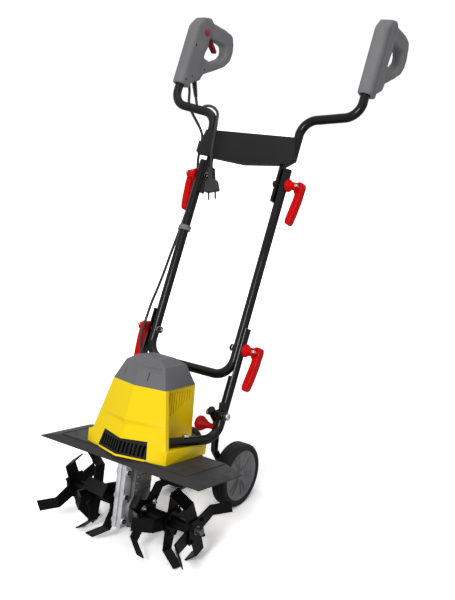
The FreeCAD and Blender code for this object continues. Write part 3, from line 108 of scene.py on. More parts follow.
# From here in millimetres of the frame that each comment names.
SLEEVE = ((0.0, 49.0, 268.4), (0.0, 73.3, 233.0))       # switch grip: its upper and lower end
PAST_CLAMP = (                                          # upper handle: the cable past the clamp
    (-144.4, 2.5, 35.0), (-144.4, 13.5, 14.0), (-143.0, 18.5, -10.0), (-139.5, 18.0, -33.0))
GRIP_SCREWS = (                                         # switch grip: (X, Y, Z), both sides
    (17.0, 0.0, 346.0), (17.0, -1.0, 250.0), (17.0, 18.0, 267.0), (14.0, 60.0, 304.0))
CASE_SCREWS = (92.0, 35.0, -22.0)                       # shaft: heights of the case's screws
CASE_FRONT = -46.0                                      # shaft: Y of the bosses and screws
STAR_BOLTS = (("inner", 48.0), ("middle", 119.0), ("outer", 183.0))     # rotor: X
BOLT_CIRCLE = 27.0                                      # rotor: radius that the bolts sit on
GROOVES = (76.0, 87.0, 98.0)                            # axle: X of the tyre's grooves
GROOVE_RADIUS, GROOVE_DEPTH = 80.2, 1.6                 # axle
SPOKES, SPOKE_PITCH, SPOKE_SPREAD, FIRST_SPOKE = 6, 60.0, 9.0, 12.0     # count, then degrees


def linear(code):
    """An sRGB hex value as linear red, green and blue."""
    channels = [int(code[i:i + 2], 16) / 255 for i in (0, 2, 4)]
    return [c / 12.92 if c <= 0.04045 else ((c + 0.055) / 1.055) ** 2.4 for c in channels]


# ---------------------------------------------------------------- properties


def colour(name, description, code):
    return bpy.props.FloatVectorProperty(
        name=name, description=description, subtype="COLOR", size=3, min=0.0, max=1.0,
        default=linear(code))


def length(name, description, metres):
    return bpy.props.FloatProperty(
        name=name, description=description, default=metres, min=0.0, unit="LENGTH")


class TillerColours(bpy.types.PropertyGroup):
    housing: colour("Housing", "Glossy moulded shell round the motor", "F8D600")
    cap: colour("Cap", "Satin moulded top of the housing", "6C6C6F")
    guard: colour("Guard", "Satin moulded tine guard", "363637")
    panel: colour("Panel", "Satin moulded cross panel", "1A1A1B")
    grille: colour("Grille", "Moulded air inlet", "121213")
    tube: colour("Tubes", "Gloss powder coat of the tubes", "0B0B0C")
    lever: colour("Levers", "Moulded clamp levers", "CC0204")
    knob: colour("Knobs", "Moulded lock knobs, trigger and button", "A00205")
    grip: colour("Grips", "Fine-grained moulded grips", "78787A")
    casting: colour("Gearbox", "Cast aluminium gear case", "D2D2D4")
    tine: colour("Tines", "Painted tine plate", "060607")
    hub: colour("Wheel hubs", "Moulded wheel hubs", "767678")
    tyre: colour("Tyres", "Rubber tyres", "121213")
    sheath: colour("Cables", "Sheath of cables and plug", "2B2B2C")


class TillerSizes(bpy.types.PropertyGroup):
    cable: length("Cable", "Diameter of the motor cable and the power cord", 0.007)
    cord_length: length("Cord length", "Length of the power cord up to its plug", 0.352)
    floor: length("Floor", "Half width of the floor", 6.0)
    edge: length("Edges", "Rounding of moulded edges", 0.003)


def colours():
    return bpy.context.scene.tiller_colours


def sizes():
    return bpy.context.scene.tiller_sizes


# ---------------------------------------------------------------- materials


def add(tree, kind, links=(), **settings):
    """Add a node; settings fill its sockets or attributes, links join (from, to socket)."""
    node = tree.nodes.new(kind)
    for key, value in settings.items():
        socket = node.inputs.get(key.replace("_", " "))
        if socket is None:
            setattr(node, key, value)
        else:
            socket.default_value = value
    for source, target in links:
        tree.links.new(source, node.inputs[target])
    return node


def start_material(name, **shader):
    """A material with its Principled shader set, and its Object coordinates."""
    material = bpy.data.materials.get(name)
    if material is not None:
        return material, None, None, None
    material = bpy.data.materials.new(name)
    material.use_nodes = True
    tree = material.node_tree
    surface = tree.nodes["Principled BSDF"]
    for key, value in shader.items():
        surface.inputs[key.replace("_", " ")].default_value = value
    place = add(tree, "ShaderNodeTexCoord").outputs["Object"]
    return material, tree, surface, place


def grade(tree, source, stops):
    """A colour ramp over (position, colour or grey) stops."""
    ramp = add(tree, "ShaderNodeValToRGB", [(source, "Fac")])
    elements = ramp.color_ramp.elements
    while len(elements) < len(stops):
        elements.new(0.5)
    for element, (position, value) in zip(elements, stops):
        element.position = position
        element.color = (*value, 1.0) if hasattr(value, "__len__") else (value, value, value, 1.0)
    return ramp.outputs["Color"]


def shade(value, factor):
    return [min(1.0, max(0.0, c * factor)) for c in value]


def vary(tree, surface, socket, source, stops):
    """Let a pattern drive a socket of the shader."""
    tree.links.new(grade(tree, source, stops), surface.inputs[socket])


def raise_by(tree, surface, source, strength, metres):
    """Let a pattern raise the skin."""
    bump = add(tree, "ShaderNodeBump", [(source, "Height")], Strength=strength, Distance=metres)
    tree.links.new(bump.outputs["Normal"], surface.inputs["Normal"])


def moulded_plastic(name, tint, roughness, grain_mm, grain_depth, spread=0.06, sheen=0.15):
    """Injection-moulded plastic: faint flow marks in its colour, a spark-eroded grain, and
    soft dust in the gloss.  The eye reads a satin or glossy skin with small variation."""
    material, tree, surface, place = start_material(
        name, Roughness=roughness, IOR=1.5, Specular_IOR_Level=sheen)
    if tree is None:
        return material
    flow = add(tree, "ShaderNodeTexNoise", [(place, "Vector")], Scale=9.0, Detail=3.0,
               Roughness=0.6)
    vary(tree, surface, "Base Color", flow.outputs["Fac"],
         [(0.3, shade(tint, 1 - spread)), (0.7, shade(tint, 1 + spread))])
    dust = add(tree, "ShaderNodeTexNoise", [(place, "Vector")], Scale=45.0, Detail=5.0)
    vary(tree, surface, "Roughness", dust.outputs["Fac"],
         [(0.3, roughness * 0.85), (0.75, min(1.0, roughness * 1.25))])
    grain = add(tree, "ShaderNodeTexNoise", [(place, "Vector")], Scale=0.5 / (grain_mm * MM),
                Detail=2.0)
    raise_by(tree, surface, grain.outputs["Fac"], 0.35, grain_depth)
    return material


def powder_coat(name, tint, roughness=0.16):
    """Powder coat on steel tube: a glossy skin with fine orange peel, which breaks the long
    highlights a little."""
    material, tree, surface, place = start_material(
        name, Roughness=roughness, IOR=1.5, Specular_IOR_Level=0.2)
    if tree is None:
        return material
    wear = add(tree, "ShaderNodeTexNoise", [(place, "Vector")], Scale=14.0, Detail=6.0)
    vary(tree, surface, "Base Color", wear.outputs["Fac"],
         [(0.35, shade(tint, 0.85)), (0.75, shade(tint, 1.35))])
    vary(tree, surface, "Roughness", wear.outputs["Fac"],
         [(0.3, roughness * 0.8), (0.7, roughness * 1.5)])
    peel = add(tree, "ShaderNodeTexNoise", [(place, "Vector")], Scale=420.0, Detail=1.0)
    raise_by(tree, surface, peel.outputs["Fac"], 0.25, 0.0004)
    return material


def cast_aluminium(name, tint):
    """Die-cast aluminium: bright and slightly mottled, with a pebbled skin and darker
    pockets where grease and soil settle."""
    material, tree, surface, place = start_material(name, Roughness=0.42, Metallic=0.75)
    if tree is None:
        return material
    mottle = add(tree, "ShaderNodeTexNoise", [(place, "Vector")], Scale=38.0, Detail=6.0,
                 Roughness=0.65)
    vary(tree, surface, "Base Color", mottle.outputs["Fac"],
         [(0.28, shade(tint, 0.62)), (0.5, tint), (0.8, shade(tint, 1.12))])
    vary(tree, surface, "Roughness", mottle.outputs["Fac"], [(0.3, 0.58), (0.7, 0.34)])
    skin = add(tree, "ShaderNodeTexVoronoi", [(place, "Vector")], Scale=620.0)
    raise_by(tree, surface, skin.outputs["Distance"], 0.3, 0.0005)
    return material


def plated_steel(name, dark, bright):
    """Plated or blackened steel: a cloudy brightness between two tones."""
    material, tree, surface, place = start_material(name, Roughness=0.32, Metallic=1.0)
    if tree is None:
        return material
    cloud = add(tree, "ShaderNodeTexNoise", [(place, "Vector")], Scale=120.0, Detail=4.0)
    vary(tree, surface, "Base Color", cloud.outputs["Fac"],
         [(0.3, linear(dark)), (0.7, linear(bright))])
    vary(tree, surface, "Roughness", cloud.outputs["Fac"], [(0.3, 0.42), (0.7, 0.24)])
    return material


def turned_steel(name):
    """Turned steel shaft: rings of the tool marks, darker than plated bolts."""
    material, tree, surface, place = start_material(name, Roughness=0.35, Metallic=1.0)
    if tree is None:
        return material
    rings = add(tree, "ShaderNodeTexWave", [(place, "Vector")], Scale=160.0, Distortion=1.5,
                Detail=2.0)
    vary(tree, surface, "Base Color", rings.outputs["Fac"],
         [(0.2, linear("5E5F61")), (0.9, linear("98999B"))])
    raise_by(tree, surface, rings.outputs["Fac"], 0.2, 0.0002)
    return material


def painted_tine(name, tint):
    """Stove enamel on sheared plate: deep black with rubbed, greyer patches that soil
    polishes, coarser than the real scratches so that they show."""
    material, tree, surface, place = start_material(name, Roughness=0.34, IOR=1.5,
                                                    Specular_IOR_Level=0.1)
    if tree is None:
        return material
    rub = add(tree, "ShaderNodeTexNoise", [(place, "Vector")], Scale=26.0, Detail=8.0,
              Roughness=0.7)
    vary(tree, surface, "Base Color", rub.outputs["Fac"],
         [(0.35, tint), (0.62, shade(tint, 1.6)), (0.85, linear("323233"))])
    vary(tree, surface, "Roughness", rub.outputs["Fac"], [(0.3, 0.24), (0.75, 0.55)])
    raise_by(tree, surface, rub.outputs["Fac"], 0.15, 0.001)
    return material


def rubber(name, tint, roughness=0.6):
    """Vulcanised or moulded rubber: dull, with a fine skin and a little bloom."""
    material, tree, surface, place = start_material(
        name, Roughness=roughness, IOR=1.52, Specular_IOR_Level=0.2)
    if tree is None:
        return material
    bloom = add(tree, "ShaderNodeTexNoise", [(place, "Vector")], Scale=22.0, Detail=5.0)
    vary(tree, surface, "Base Color", bloom.outputs["Fac"],
         [(0.3, shade(tint, 0.8)), (0.75, shade(tint, 1.5))])
    skin = add(tree, "ShaderNodeTexNoise", [(place, "Vector")], Scale=300.0, Detail=2.0)
    raise_by(tree, surface, skin.outputs["Fac"], 0.3, 0.0004)
    return material


def finish_named(slot):
    """The finish for one of the record's material slots, or for a darker kind of one, some of which are painted
    shade.
    """
    c = colours()
    # Name, colour, roughness, grain in mm, its depth in m, spread of the colour, gloss.
    plastics = {
        "housing_yellow": ("ABS glossy moulded yellow", c.housing, 0.34, 1.2, 0.0002, 0.015,
                           0.2),
        "cap_grey": ("ABS satin moulded grey", c.cap, 0.5, 0.9, 0.0004, 0.05),
        "guard_black": ("Polypropylene satin moulded charcoal", c.guard, 0.5, 1.0, 0.0004, 0.08),
        "panel_black": ("Polypropylene satin moulded panel", c.panel, 0.5, 1.0, 0.0004, 0.08),
        "grille_black": ("ABS moulded black", c.grille, 0.45, 1.0, 0.0003, 0.08),
        "grip_grey": ("Nylon fine-grained moulded grey", c.grip, 0.55, 0.8, 0.0005, 0.06),
        "lever_red": ("Nylon glossy moulded red", c.lever, 0.3, 1.0, 0.0002, 0.08, 0.1),
        "knob_red": ("Nylon moulded dark red", c.knob, 0.42, 1.0, 0.0003, 0.08),
        "trigger_red": ("ABS moulded trigger red", shade(c.knob, 0.55), 0.4, 1.0, 0.0002, 0.08),
        "button_red": ("ABS moulded button red", c.knob, 0.35, 1.0, 0.0002, 0.05, 0.3),
        "wheel_grey": ("Polypropylene moulded hub grey", c.hub, 0.45, 1.0, 0.0003, 0.08),
    }
    others = {
        "tube_black": (powder_coat, "Powder coat gloss black", c.tube),
        # A lighter copy of the tubes' black, which is painted light, with a satin roughness.
        "tube_grey": (powder_coat, "Powder coat satin black", shade(c.tube, 1.6), 0.34),
        "cast_light": (cast_aluminium, "Aluminium die-cast", c.casting),
        # A darker copy of the casting: painted shade for the gear case's body and ribs.
        "cast_dark": (cast_aluminium, "Aluminium die-cast, tumbled", shade(c.casting, 0.3)),
        "bolt_steel": (plated_steel, "Steel zinc-plated", "8F9092", "D4D5D6"),
        "bolt_black": (plated_steel, "Steel black-oxidised", "0E0E0F", "242425"),
        "shaft_steel": (turned_steel, "Steel turned"),
        "motor_steel": (turned_steel, "Steel motor can"),
        "tine_black": (painted_tine, "Steel plate stove-enamelled black", c.tine),
        "tyre_dark": (rubber, "Rubber vulcanised tyre", c.tyre),
        "cable_black": (rubber, "PVC cable sheath", c.sheath, 0.45),
        "plug_black": (rubber, "Rubber moulded plug", c.sheath, 0.5),
    }
    if slot in plastics:
        return moulded_plastic(*plastics[slot])
    maker, *given = others[slot]
    return maker(*given)


def paint(piece, slot):
    piece.data.materials.clear()
    piece.data.materials.append(finish_named(slot))


# ---------------------------------------------------------------- modelling

# Least angle between two faces, in degrees, at which a plain piece's edge is broken.
KEEN = 40.0


def let_go():
    if bpy.context.object is not None and bpy.context.object.mode != "OBJECT":
        bpy.ops.object.mode_set(mode="OBJECT")
    bpy.ops.object.select_all(action="DESELECT")


def take(piece):
    let_go()
    piece.select_set(True)
    bpy.context.view_layer.objects.active = piece


def use(piece, kind, **settings):
    """Add a modifier and apply it."""
    take(piece)
    modifier = piece.modifiers.new(kind.title(), kind)
    for key, value in settings.items():
        setattr(modifier, key, value)
    bpy.ops.object.modifier_apply(modifier=modifier.name)


def smooth(piece, degrees=35.0):
    take(piece)
    bpy.ops.object.shade_smooth_by_angle(angle=math.radians(degrees))


def set_down(piece):
    """Put the place into the mesh, so that the object sits at the origin."""
    take(piece)
    bpy.ops.object.transform_apply(location=True, rotation=True, scale=True)


def seat(piece, body, slot):
    """Finish a piece: its material, which the slot names, and the body it rides on."""
    paint(piece, slot)
    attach(piece, body)
    return piece


def copy_of(node, name):
    """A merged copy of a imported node, to be worked on."""
    source = NODES[node]
    piece = bpy.data.objects.new(name, source.data.copy())
    bpy.context.scene.collection.objects.link(piece)
    take(piece)
    bpy.ops.object.mode_set(mode="EDIT")
    bpy.ops.mesh.select_all(action="SELECT")
    bpy.ops.mesh.remove_doubles(threshold=0.00002)
    bpy.ops.mesh.customdata_custom_splitnormals_clear()
    bpy.ops.mesh.dissolve_limited(angle_limit=math.radians(0.5))
    bpy.ops.object.mode_set(mode="OBJECT")
    return piece


def round_edges(piece, width, segments=3, sharper=25.0, where=None):
    """Bevel the sharp edges whose middle passes the test."""
    take(piece)
    bpy.ops.object.mode_set(mode="EDIT")
    bpy.ops.mesh.select_mode(type="EDGE")
    bpy.ops.mesh.select_all(action="DESELECT")
    mesh = bmesh.from_edit_mesh(piece.data)
    for edge in mesh.edges:
        if len(edge.link_faces) == 2 and edge.calc_face_angle(0.0) > math.radians(sharper):
            middle = (edge.verts[0].co + edge.verts[1].co) / 2
            if where is None or where(middle):
                edge.select_set(True)
    bmesh.update_edit_mesh(piece.data)
    bpy.ops.mesh.bevel(offset=width, segments=segments, affect="EDGES", clamp_overlap=True)
    bpy.ops.object.mode_set(mode="OBJECT")


def crisp(node, name, body, slot, width, segments=2, where=None, sharper=25.0):
    """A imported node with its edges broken, which replaces it."""
    piece = copy_of(node, name)
    round_edges(piece, width, segments, sharper, where)
    smooth(piece)
    seat(piece, body, slot)
    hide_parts(node)
    return piece


def blacken_within(piece, reach):
    """Give the parts nearer to the middle plane than reach a black finish."""
    piece.data.materials.append(finish_named("bolt_black"))
    for face in piece.data.polygons:
        if abs(face.center.x) < reach:
            face.material_index = 1


def carve(piece, cutters):
    """Take the cutters out of a piece and throw them away."""
    for cutter in cutters:
        use(piece, "BOOLEAN", operation="DIFFERENCE", solver="EXACT", object=cutter)
        bpy.data.objects.remove(cutter)


def moulded(node, name, body, slot, voxel, rounds, grow=0.0, cutters=()):
    """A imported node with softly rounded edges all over, which replaces it.  It may grow by
    some metres, to make up for what the rounding takes away."""
    piece = copy_of(node, name)
    use(piece, "REMESH", mode="VOXEL", voxel_size=voxel, use_smooth_shade=True)
    use(piece, "SMOOTH", factor=0.5, iterations=rounds)
    if grow:
        use(piece, "DISPLACE", strength=grow, mid_level=0.0)
    carve(piece, cutters)
    smooth(piece, 50.0)
    seat(piece, body, slot)
    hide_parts(node)
    return piece


def drum(name, place, centre, direction, radius, depth, sides=32, edge=0.0):
    """A round or many-sided piece along a direction of the given frame (mm), edges broken."""
    turned = (place.to_3x3() @ Vector(direction)).normalized()
    bpy.ops.mesh.primitive_cylinder_add(
        vertices=sides, radius=radius * MM, depth=depth * MM,
        location=place @ Vector(centre),
        rotation=Vector((0, 0, 1)).rotation_difference(turned).to_euler())
    piece = bpy.context.object
    piece.name = name
    set_down(piece)
    if edge:
        round_edges(piece, edge * MM, 2, KEEN)
    return piece


def bar(name, place, centre, size, edge=0.0, segments=2):
    """A straight-sided piece in the given frame (mm), its edges broken."""
    bpy.ops.mesh.primitive_cube_add(size=1.0)
    piece = bpy.context.object
    piece.name = name
    piece.matrix_world = place @ Matrix.Translation(centre) @ Matrix.Diagonal((*size, 1.0))
    set_down(piece)
    if edge:
        round_edges(piece, edge * MM, segments, KEEN)
    return piece


def hexagon_bolt(name, place, centre, direction, across, head, washer=1.35):
    """A hexagon head on a washer face, with the stud's end, in the given frame (mm)."""
    washer_height, gap, stud_height = 1.6, 0.2, 3.2
    direction = Vector(direction).normalized()
    base = Vector(centre)
    seat_height = washer_height - gap
    flat = drum(name, place, base + direction * washer_height / 2, direction,
                across / 2 * washer, washer_height, 28, 0.3)
    nut = drum(f"{name}_head", place, base + direction * (seat_height + head / 2), direction,
               across / 2, head, 6, 0.7)
    stud = drum(f"{name}_stud", place,
                base + direction * (seat_height + head + stud_height / 4), direction,
                across * 0.26, stud_height, 20, 0.5)
    return join([flat, nut, stud], name)


def sink_socket(piece, outward, inset, depth):
    """Sink the end that faces outward, as a screw's socket."""
    take(piece)
    bpy.ops.object.mode_set(mode="EDIT")
    bpy.ops.mesh.select_mode(type="FACE")
    bpy.ops.mesh.select_all(action="DESELECT")
    mesh = bmesh.from_edit_mesh(piece.data)
    outward = outward.normalized()
    end = max(mesh.faces, key=lambda face: face.calc_center_median().dot(outward))
    end.select_set(True)
    bmesh.update_edit_mesh(piece.data)
    bpy.ops.mesh.inset(thickness=inset, depth=0.0)
    bpy.ops.mesh.extrude_region_move(TRANSFORM_OT_translate={"value": outward * -depth})
    bpy.ops.object.mode_set(mode="OBJECT")


def join(pieces, name):
    let_go()
    for piece in pieces:
        piece.select_set(True)
    bpy.context.view_layer.objects.active = pieces[0]
    bpy.ops.object.join()
    pieces[0].name = name
    return pieces[0]


def assemble(pieces, name, body, slot):
    """Join pieces into one, smooth it and seat it."""
    whole = join(pieces, name)
    smooth(whole)
    return seat(whole, body, slot)


def lying_curve(name, points, diameter):
    """A round cable along a smooth NURBS line."""
    data = bpy.data.curves.new(name, "CURVE")
    data.dimensions = "3D"
    data.bevel_depth = diameter / 2
    data.bevel_resolution = 5
    data.resolution_u = 10
    data.use_fill_caps = True
    line = data.splines.new("NURBS")
    line.points.add(len(points) - 1)
    for point, place in zip(line.points, points):
        point.co = (*place, 1.0)
    line.order_u = 3
    line.use_endpoint_u = True
    piece = bpy.data.objects.new(name, data)
    bpy.context.scene.collection.objects.link(piece)
    return piece


def meshed(piece):
    take(piece)
    bpy.ops.object.convert(target="MESH")
    return bpy.context.object


# ---------------------------------------------------------------- operators


class TillerPiece:
    """What the tiller's operators share."""
    bl_options = {"REGISTER", "UNDO"}


class TILLER_OT_camera(TillerPiece, bpy.types.Operator):
    """Place the camera before the machine's left front, a little above it"""
    bl_idname = "tiller.camera"
    bl_label = "Camera"

    def execute(self, context):
        bpy.ops.object.camera_add()
        camera = bpy.context.object
        camera.name = "view_camera"
        camera.data.lens = 56.4
        camera.data.sensor_width = 36.0
        camera.data.clip_end = 60.0
        turn, tilt = math.radians(34.9), math.radians(17.6)
        front_of_shaft = -1.446
        looks = Vector((-math.sin(turn) * math.cos(tilt), math.cos(turn) * math.cos(tilt),
                        -math.sin(tilt)))
        camera.location = (1.274, front_of_shaft + PINS["tine_spin"].y, 1.202)
        camera.rotation_euler = looks.to_track_quat("-Z", "Y").to_euler()
        context.scene.camera = camera
        return {"FINISHED"}


class TILLER_OT_power_cord(TillerPiece, bpy.types.Operator):
    """Make the power cord, its plug and the sleeve it leaves the grip through"""
    bl_idname = "tiller.power_cord"
    bl_label = "Power cord"

    def execute(self, context):
        diameter = sizes().cable
        cord = lying_curve("power_cord_run", POWER_CORD, diameter)
        seat(cord, "upper_handle_body", "cable_black")
        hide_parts("power_cord")
        plug = moulded("power_plug", "plug_moulding", "upper_handle_body", "plug_black",
                       voxel=0.0007, rounds=5)
        tail = Vector(POWER_CORD[-1])
        down = (tail - Vector(POWER_CORD[-2])).normalized()
        neck = []
        for index in range(6):
            middle = tail + down * (0.003 + 0.0045 * index)
            neck.append(drum(f"neck_ring_{index}", Matrix.Scale(MM, 4), middle / MM, down,
                             8.2 + 0.3 * index, 2.6, 28, 0.8))
        collar = assemble(neck, "plug_neck_rings", "upper_handle_body", "plug_black")
        start, end = (Vector(point) for point in SLEEVE)
        along, total = (end - start).normalized(), (end - start).length
        last, inset, top, tip = 8, 2.2, 7.6, 5.0
        rings = []
        for index in range(last + 1):
            share = index / last
            rings.append(drum(f"sleeve_ring_{index}", SWITCH_GRIP,
                              start + along * (inset + (total - 2 * inset) * share), along,
                              top + (tip - top) * share, 3.4, 32, 0.8))
        rings.append(drum("sleeve_core", SWITCH_GRIP, (start + end) / 2, along, 4.8, total - 1.0,
                          32, 0.4))
        sleeve = assemble(rings, "cord_sleeve", "upper_handle_body", "cable_black")
        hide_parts("strain_relief")
        return {"FINISHED"}


class TILLER_OT_motor_cable(TillerPiece, bpy.types.Operator):
    """Make the cable that runs from the switch down the handle into the motor housing"""
    bl_idname = "tiller.motor_cable"
    bl_label = "Motor cable"

    def execute(self, context):
        diameter = sizes().cable
        for name, points, body, node in (
                ("cable_run_upper", CABLE_UPPER, "upper_handle_body", "cable_upper"),
                ("cable_run_mid", CABLE_MID, "mid_handle_body", "cable_mid"),
                ("cable_run_lower", CABLE_LOWER, "chassis", "cable_lower")):
            run = lying_curve(name, points, diameter)
            seat(run, body, "cable_black")
            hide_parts(node)
        past_clamp = [UPPER @ Vector(point) for point in PAST_CLAMP]
        crossings = (
            ("cable_bridge_upper", [CABLE_UPPER[-1], *past_clamp, CABLE_MID[0]],
             "upper_handle_body", "mid_handle_body"),
            ("cable_bridge_lower", [CABLE_MID[-1], LOWER_BEND, CABLE_LOWER[0]],
             "mid_handle_body", "chassis"))
        for name, points, first, second in crossings:
            bridge = meshed(lying_curve(name, points, diameter))
            paint(bridge, "cable_black")
            smooth(bridge, 60.0)
            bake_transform(bridge)
        return {"FINISHED"}


class TILLER_OT_housing(TillerPiece, bpy.types.Operator):
    """Make the motor housing with its cap, air inlet and guard"""
    bl_idname = "tiller.housing"
    bl_label = "Housing and guard"

    def execute(self, context):
        edge = sizes().edge
        inner_half, inner_front = 60.0, -20.0

        def outside(place):
            local = SHAFT.inverted() @ place
            return abs(local.x) > inner_half or local.y < inner_front

        crisp("motor_housing", "housing_shell", "chassis", "housing_yellow", edge * 0.6, 3,
              outside)
        cap = copy_of("housing_cap", "cap_shell")
        scoop = drum("scoop", SHAFT, (24.0, -30.2, 332.0), (1, 0.32, 0), 7.5, 58.0, 40)
        slits = [bar("slit_left", SHAFT, (-44.0, -26.0, 313.0), (2.2, 12.0, 15.0)),
                 bar("slit_right", SHAFT, (26.0, -31.0, 314.0), (2.2, 12.0, 20.0))]
        carve(cap, [scoop, *slits])
        round_edges(cap, edge * 1.3, 3, 18.0)
        smooth(cap)
        seat(cap, "chassis", "cap_grey")
        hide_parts("housing_cap")
        crisp("front_grille", "inlet_grille", "chassis", "grille_black", edge * 0.25, 1)
        # Dark sheets just inside the louvres, which paint the shade in the slots.
        shade_sheets = [bar(f"screen_{side}", SHAFT, (60.0 * side, 42.0, 248.0), (3.0, 96.0, 78.0),
                       1.0) for side in (1, -1)]
        assemble(shade_sheets, "louvre_shade_sheets", "chassis", "grille_black")
        bead, height, fold = 3.4, 2.4, 135.9
        beads = [bar(f"bead_{side}", SHAFT, (181.0 * side, 12.0, fold), (bead, 146.0, height),
                     0.9) for side in (1, -1)]
        beads.append(bar("bead_front", SHAFT, (0.0, -63.0, fold), (362.0, bead, height), 0.9))
        assemble(beads, "guard_beads", "chassis", "guard_black")
        crisp("tine_guard", "guard_plate", "chassis", "guard_black", edge * 0.3, 2)
        return {"FINISHED"}


class TILLER_OT_gearbox(TillerPiece, bpy.types.Operator):
    """Make the cast gear case and its screws"""
    bl_idname = "tiller.gearbox"
    bl_label = "Gear case"

    def execute(self, context):
        case = crisp("gearbox", "gear_case", "chassis", "cast_light", 0.0012, 2)
        # The case body takes the darker copy of the casting, which is painted shade.
        paint(case, "cast_dark")
        halves = []
        for side in (1, -1):
            halves.append(bar(f"half_{side}", SHAFT, (6.7 * side, -43.0, 44.0),
                              (12.2, 26.0, 164.0), 3.0, 3))
            for level in CASE_SCREWS:
                halves.append(drum(f"boss_{side}_{level:.0f}", SHAFT,
                                   (8.2 * side, CASE_FRONT, level), (1, 0, 0), 8.8, 14.6, 32,
                                   1.2))
        assemble(halves, "split_flange", "chassis", "cast_light")
        screws = []
        for side in (1, -1):
            for level in CASE_SCREWS:
                screw = drum(f"screw_{side}_{level:.0f}", SHAFT,
                             (15.6 * side, CASE_FRONT, level), (1, 0, 0), 5.6, 2.6, 28, 0.6)
                sink_socket(screw, SHAFT.to_3x3() @ Vector((side, 0, 0)), 0.0021, 0.0022)
                screws.append(screw)
        paint(assemble(screws, "case_screws", "chassis", "bolt_steel"), "bolt_black")
        return {"FINISHED"}


class TILLER_OT_tines(TillerPiece, bpy.types.Operator):
    """Make the rotor: sleeves, stars and the bolts that hold them"""
    bl_idname = "tiller.tines"
    bl_label = "Tine rotor"

    def execute(self, context):
        for side in ("left", "right"):
            for place in ("inner", "middle", "outer"):
                crisp(f"tine_star_{side}_{place}", f"star_{side}_{place}", "tine_rotor",
                      "tine_black", 0.0006, 1)
        crisp("tine_sleeves", "star_sleeves", "tine_rotor", "tine_black", 0.0008, 1)
        for place, x in STAR_BOLTS:
            bolts = []
            for side in (1, -1):
                for quarter in range(4):
                    angle = math.radians(45.0 + 90.0 * quarter)
                    y, z = BOLT_CIRCLE * math.cos(angle), BOLT_CIRCLE * math.sin(angle)
                    bolts.append(hexagon_bolt(f"bolt_{side}_{place}_{quarter}", ROTOR,
                                              (x * side, y, z), (side, 0, 0), 9.5, 4.5))
            ring = assemble(bolts, f"star_bolts_{place}", "tine_rotor", "bolt_steel")
            # The same bolts on the middle and outer stars take the black finish, which paints shade on them so
            # that they show no glint.
            if place != "inner":
                paint(ring, "bolt_black")
        return {"FINISHED"}


class TILLER_OT_clamps(TillerPiece, bpy.types.Operator):
    """Make the clamp levers, lock knobs and handle bolts"""
    bl_idname = "tiller.clamps"
    bl_label = "Levers, knobs and bolts"

    def execute(self, context):
        for node, body, reach in (("lower_levers", "chassis", 0.125),
                                  ("upper_levers", "mid_handle_body", 0.112)):
            levers = moulded(node, f"clamp_levers_{node[:5]}", body, "lever_red", voxel=0.001,
                             rounds=12, grow=0.0016)
            blacken_within(levers, reach)
        crisp("lock_knobs", "lock_knob_pair", "chassis", "knob_red", 0.001, 3)
        lugs = []
        for side in (1, -1):
            lugs.append(drum(f"lug_{side}", SHAFT, (132.5 * side, 115.0, 232.0), (1, 0, 0), 11.5,
                             22.0, 32, 1.5))
            lugs.append(bar(f"tab_{side}", SHAFT, (132.5 * side, 116.0, 246.0),
                            (8.0, 17.0, 34.0), 3.0))
        assemble(lugs, "pivot_lugs", "chassis", "tube_black")
        for name, place, elbow, nut, body in (
                ("lower", MID, 169.4, 112.3, "chassis"),
                ("upper", UPPER, 160.1, 104.0, "mid_handle_body")):
            pins = []
            for side in (1, -1):
                pins.append(drum(f"pin_{side}", place, (elbow * side, 0.0, 1.0), (0, 1, 0), 3.4,
                                 19.6, 24, 0.6))
                pins.append(hexagon_bolt(f"nut_{side}", place, (nut * side, 0.0, 0.0),
                                         (-side, 0, 0), 17.0, 7.0, 1.05))
            assemble(pins, f"lever_pins_{name}", body, "bolt_steel")
        crisp("pivot_bolts", "pivot_bolt_pair", "chassis", "bolt_steel", 0.0006, 2)
        crisp("frame_bolts", "frame_bolt_pair", "chassis", "bolt_steel", 0.0006, 2)
        return {"FINISHED"}


class TILLER_OT_handle(TillerPiece, bpy.types.Operator):
    """Finish the handle tubes and make the cross panel and clip"""
    bl_idname = "tiller.handle"
    bl_label = "Handle"

    def execute(self, context):
        panel = crisp("cross_panel", "cross_plate", "upper_handle_body", "guard_black",
                      sizes().edge * 0.7, 3)
        paint(panel, "panel_black")
        paint(NODES["upper_tube_left"], "tube_black")
        crisp("cable_clip", "clip_block", "upper_handle_body", "guard_black",
              sizes().edge * 0.3, 2)
        return {"FINISHED"}


class TILLER_OT_grips(TillerPiece, bpy.types.Operator):
    """Make the two closed grips with the trigger"""
    bl_idname = "tiller.grips"
    bl_label = "Grips"

    def execute(self, context):
        holes = []
        for index, (x, y, z) in enumerate(GRIP_SCREWS):
            for side in (1, -1):
                holes.append(drum(f"hole_{index}_{side}", SWITCH_GRIP, (x * side, y, z),
                                  (1, 0, 0), 3.6, 7.0, 24))
        moulded("switch_grip", "switch_handle", "upper_handle_body", "grip_grey", voxel=0.002,
                rounds=28, grow=0.0015, cutters=holes)
        seams = [bar(f"seam_{side}", PLAIN_GRIP, (17.0 * side, 1.0, 322.0), (5.0, 2.2, 170.0))
                 for side in (1, -1)]
        moulded("plain_grip", "plain_handle", "upper_handle_body", "grip_grey", voxel=0.002,
                rounds=28, grow=0.0015, cutters=seams)
        moulded("trigger", "trigger_bar", "upper_handle_body", "trigger_red", voxel=0.0008,
                rounds=5)
        return {"FINISHED"}


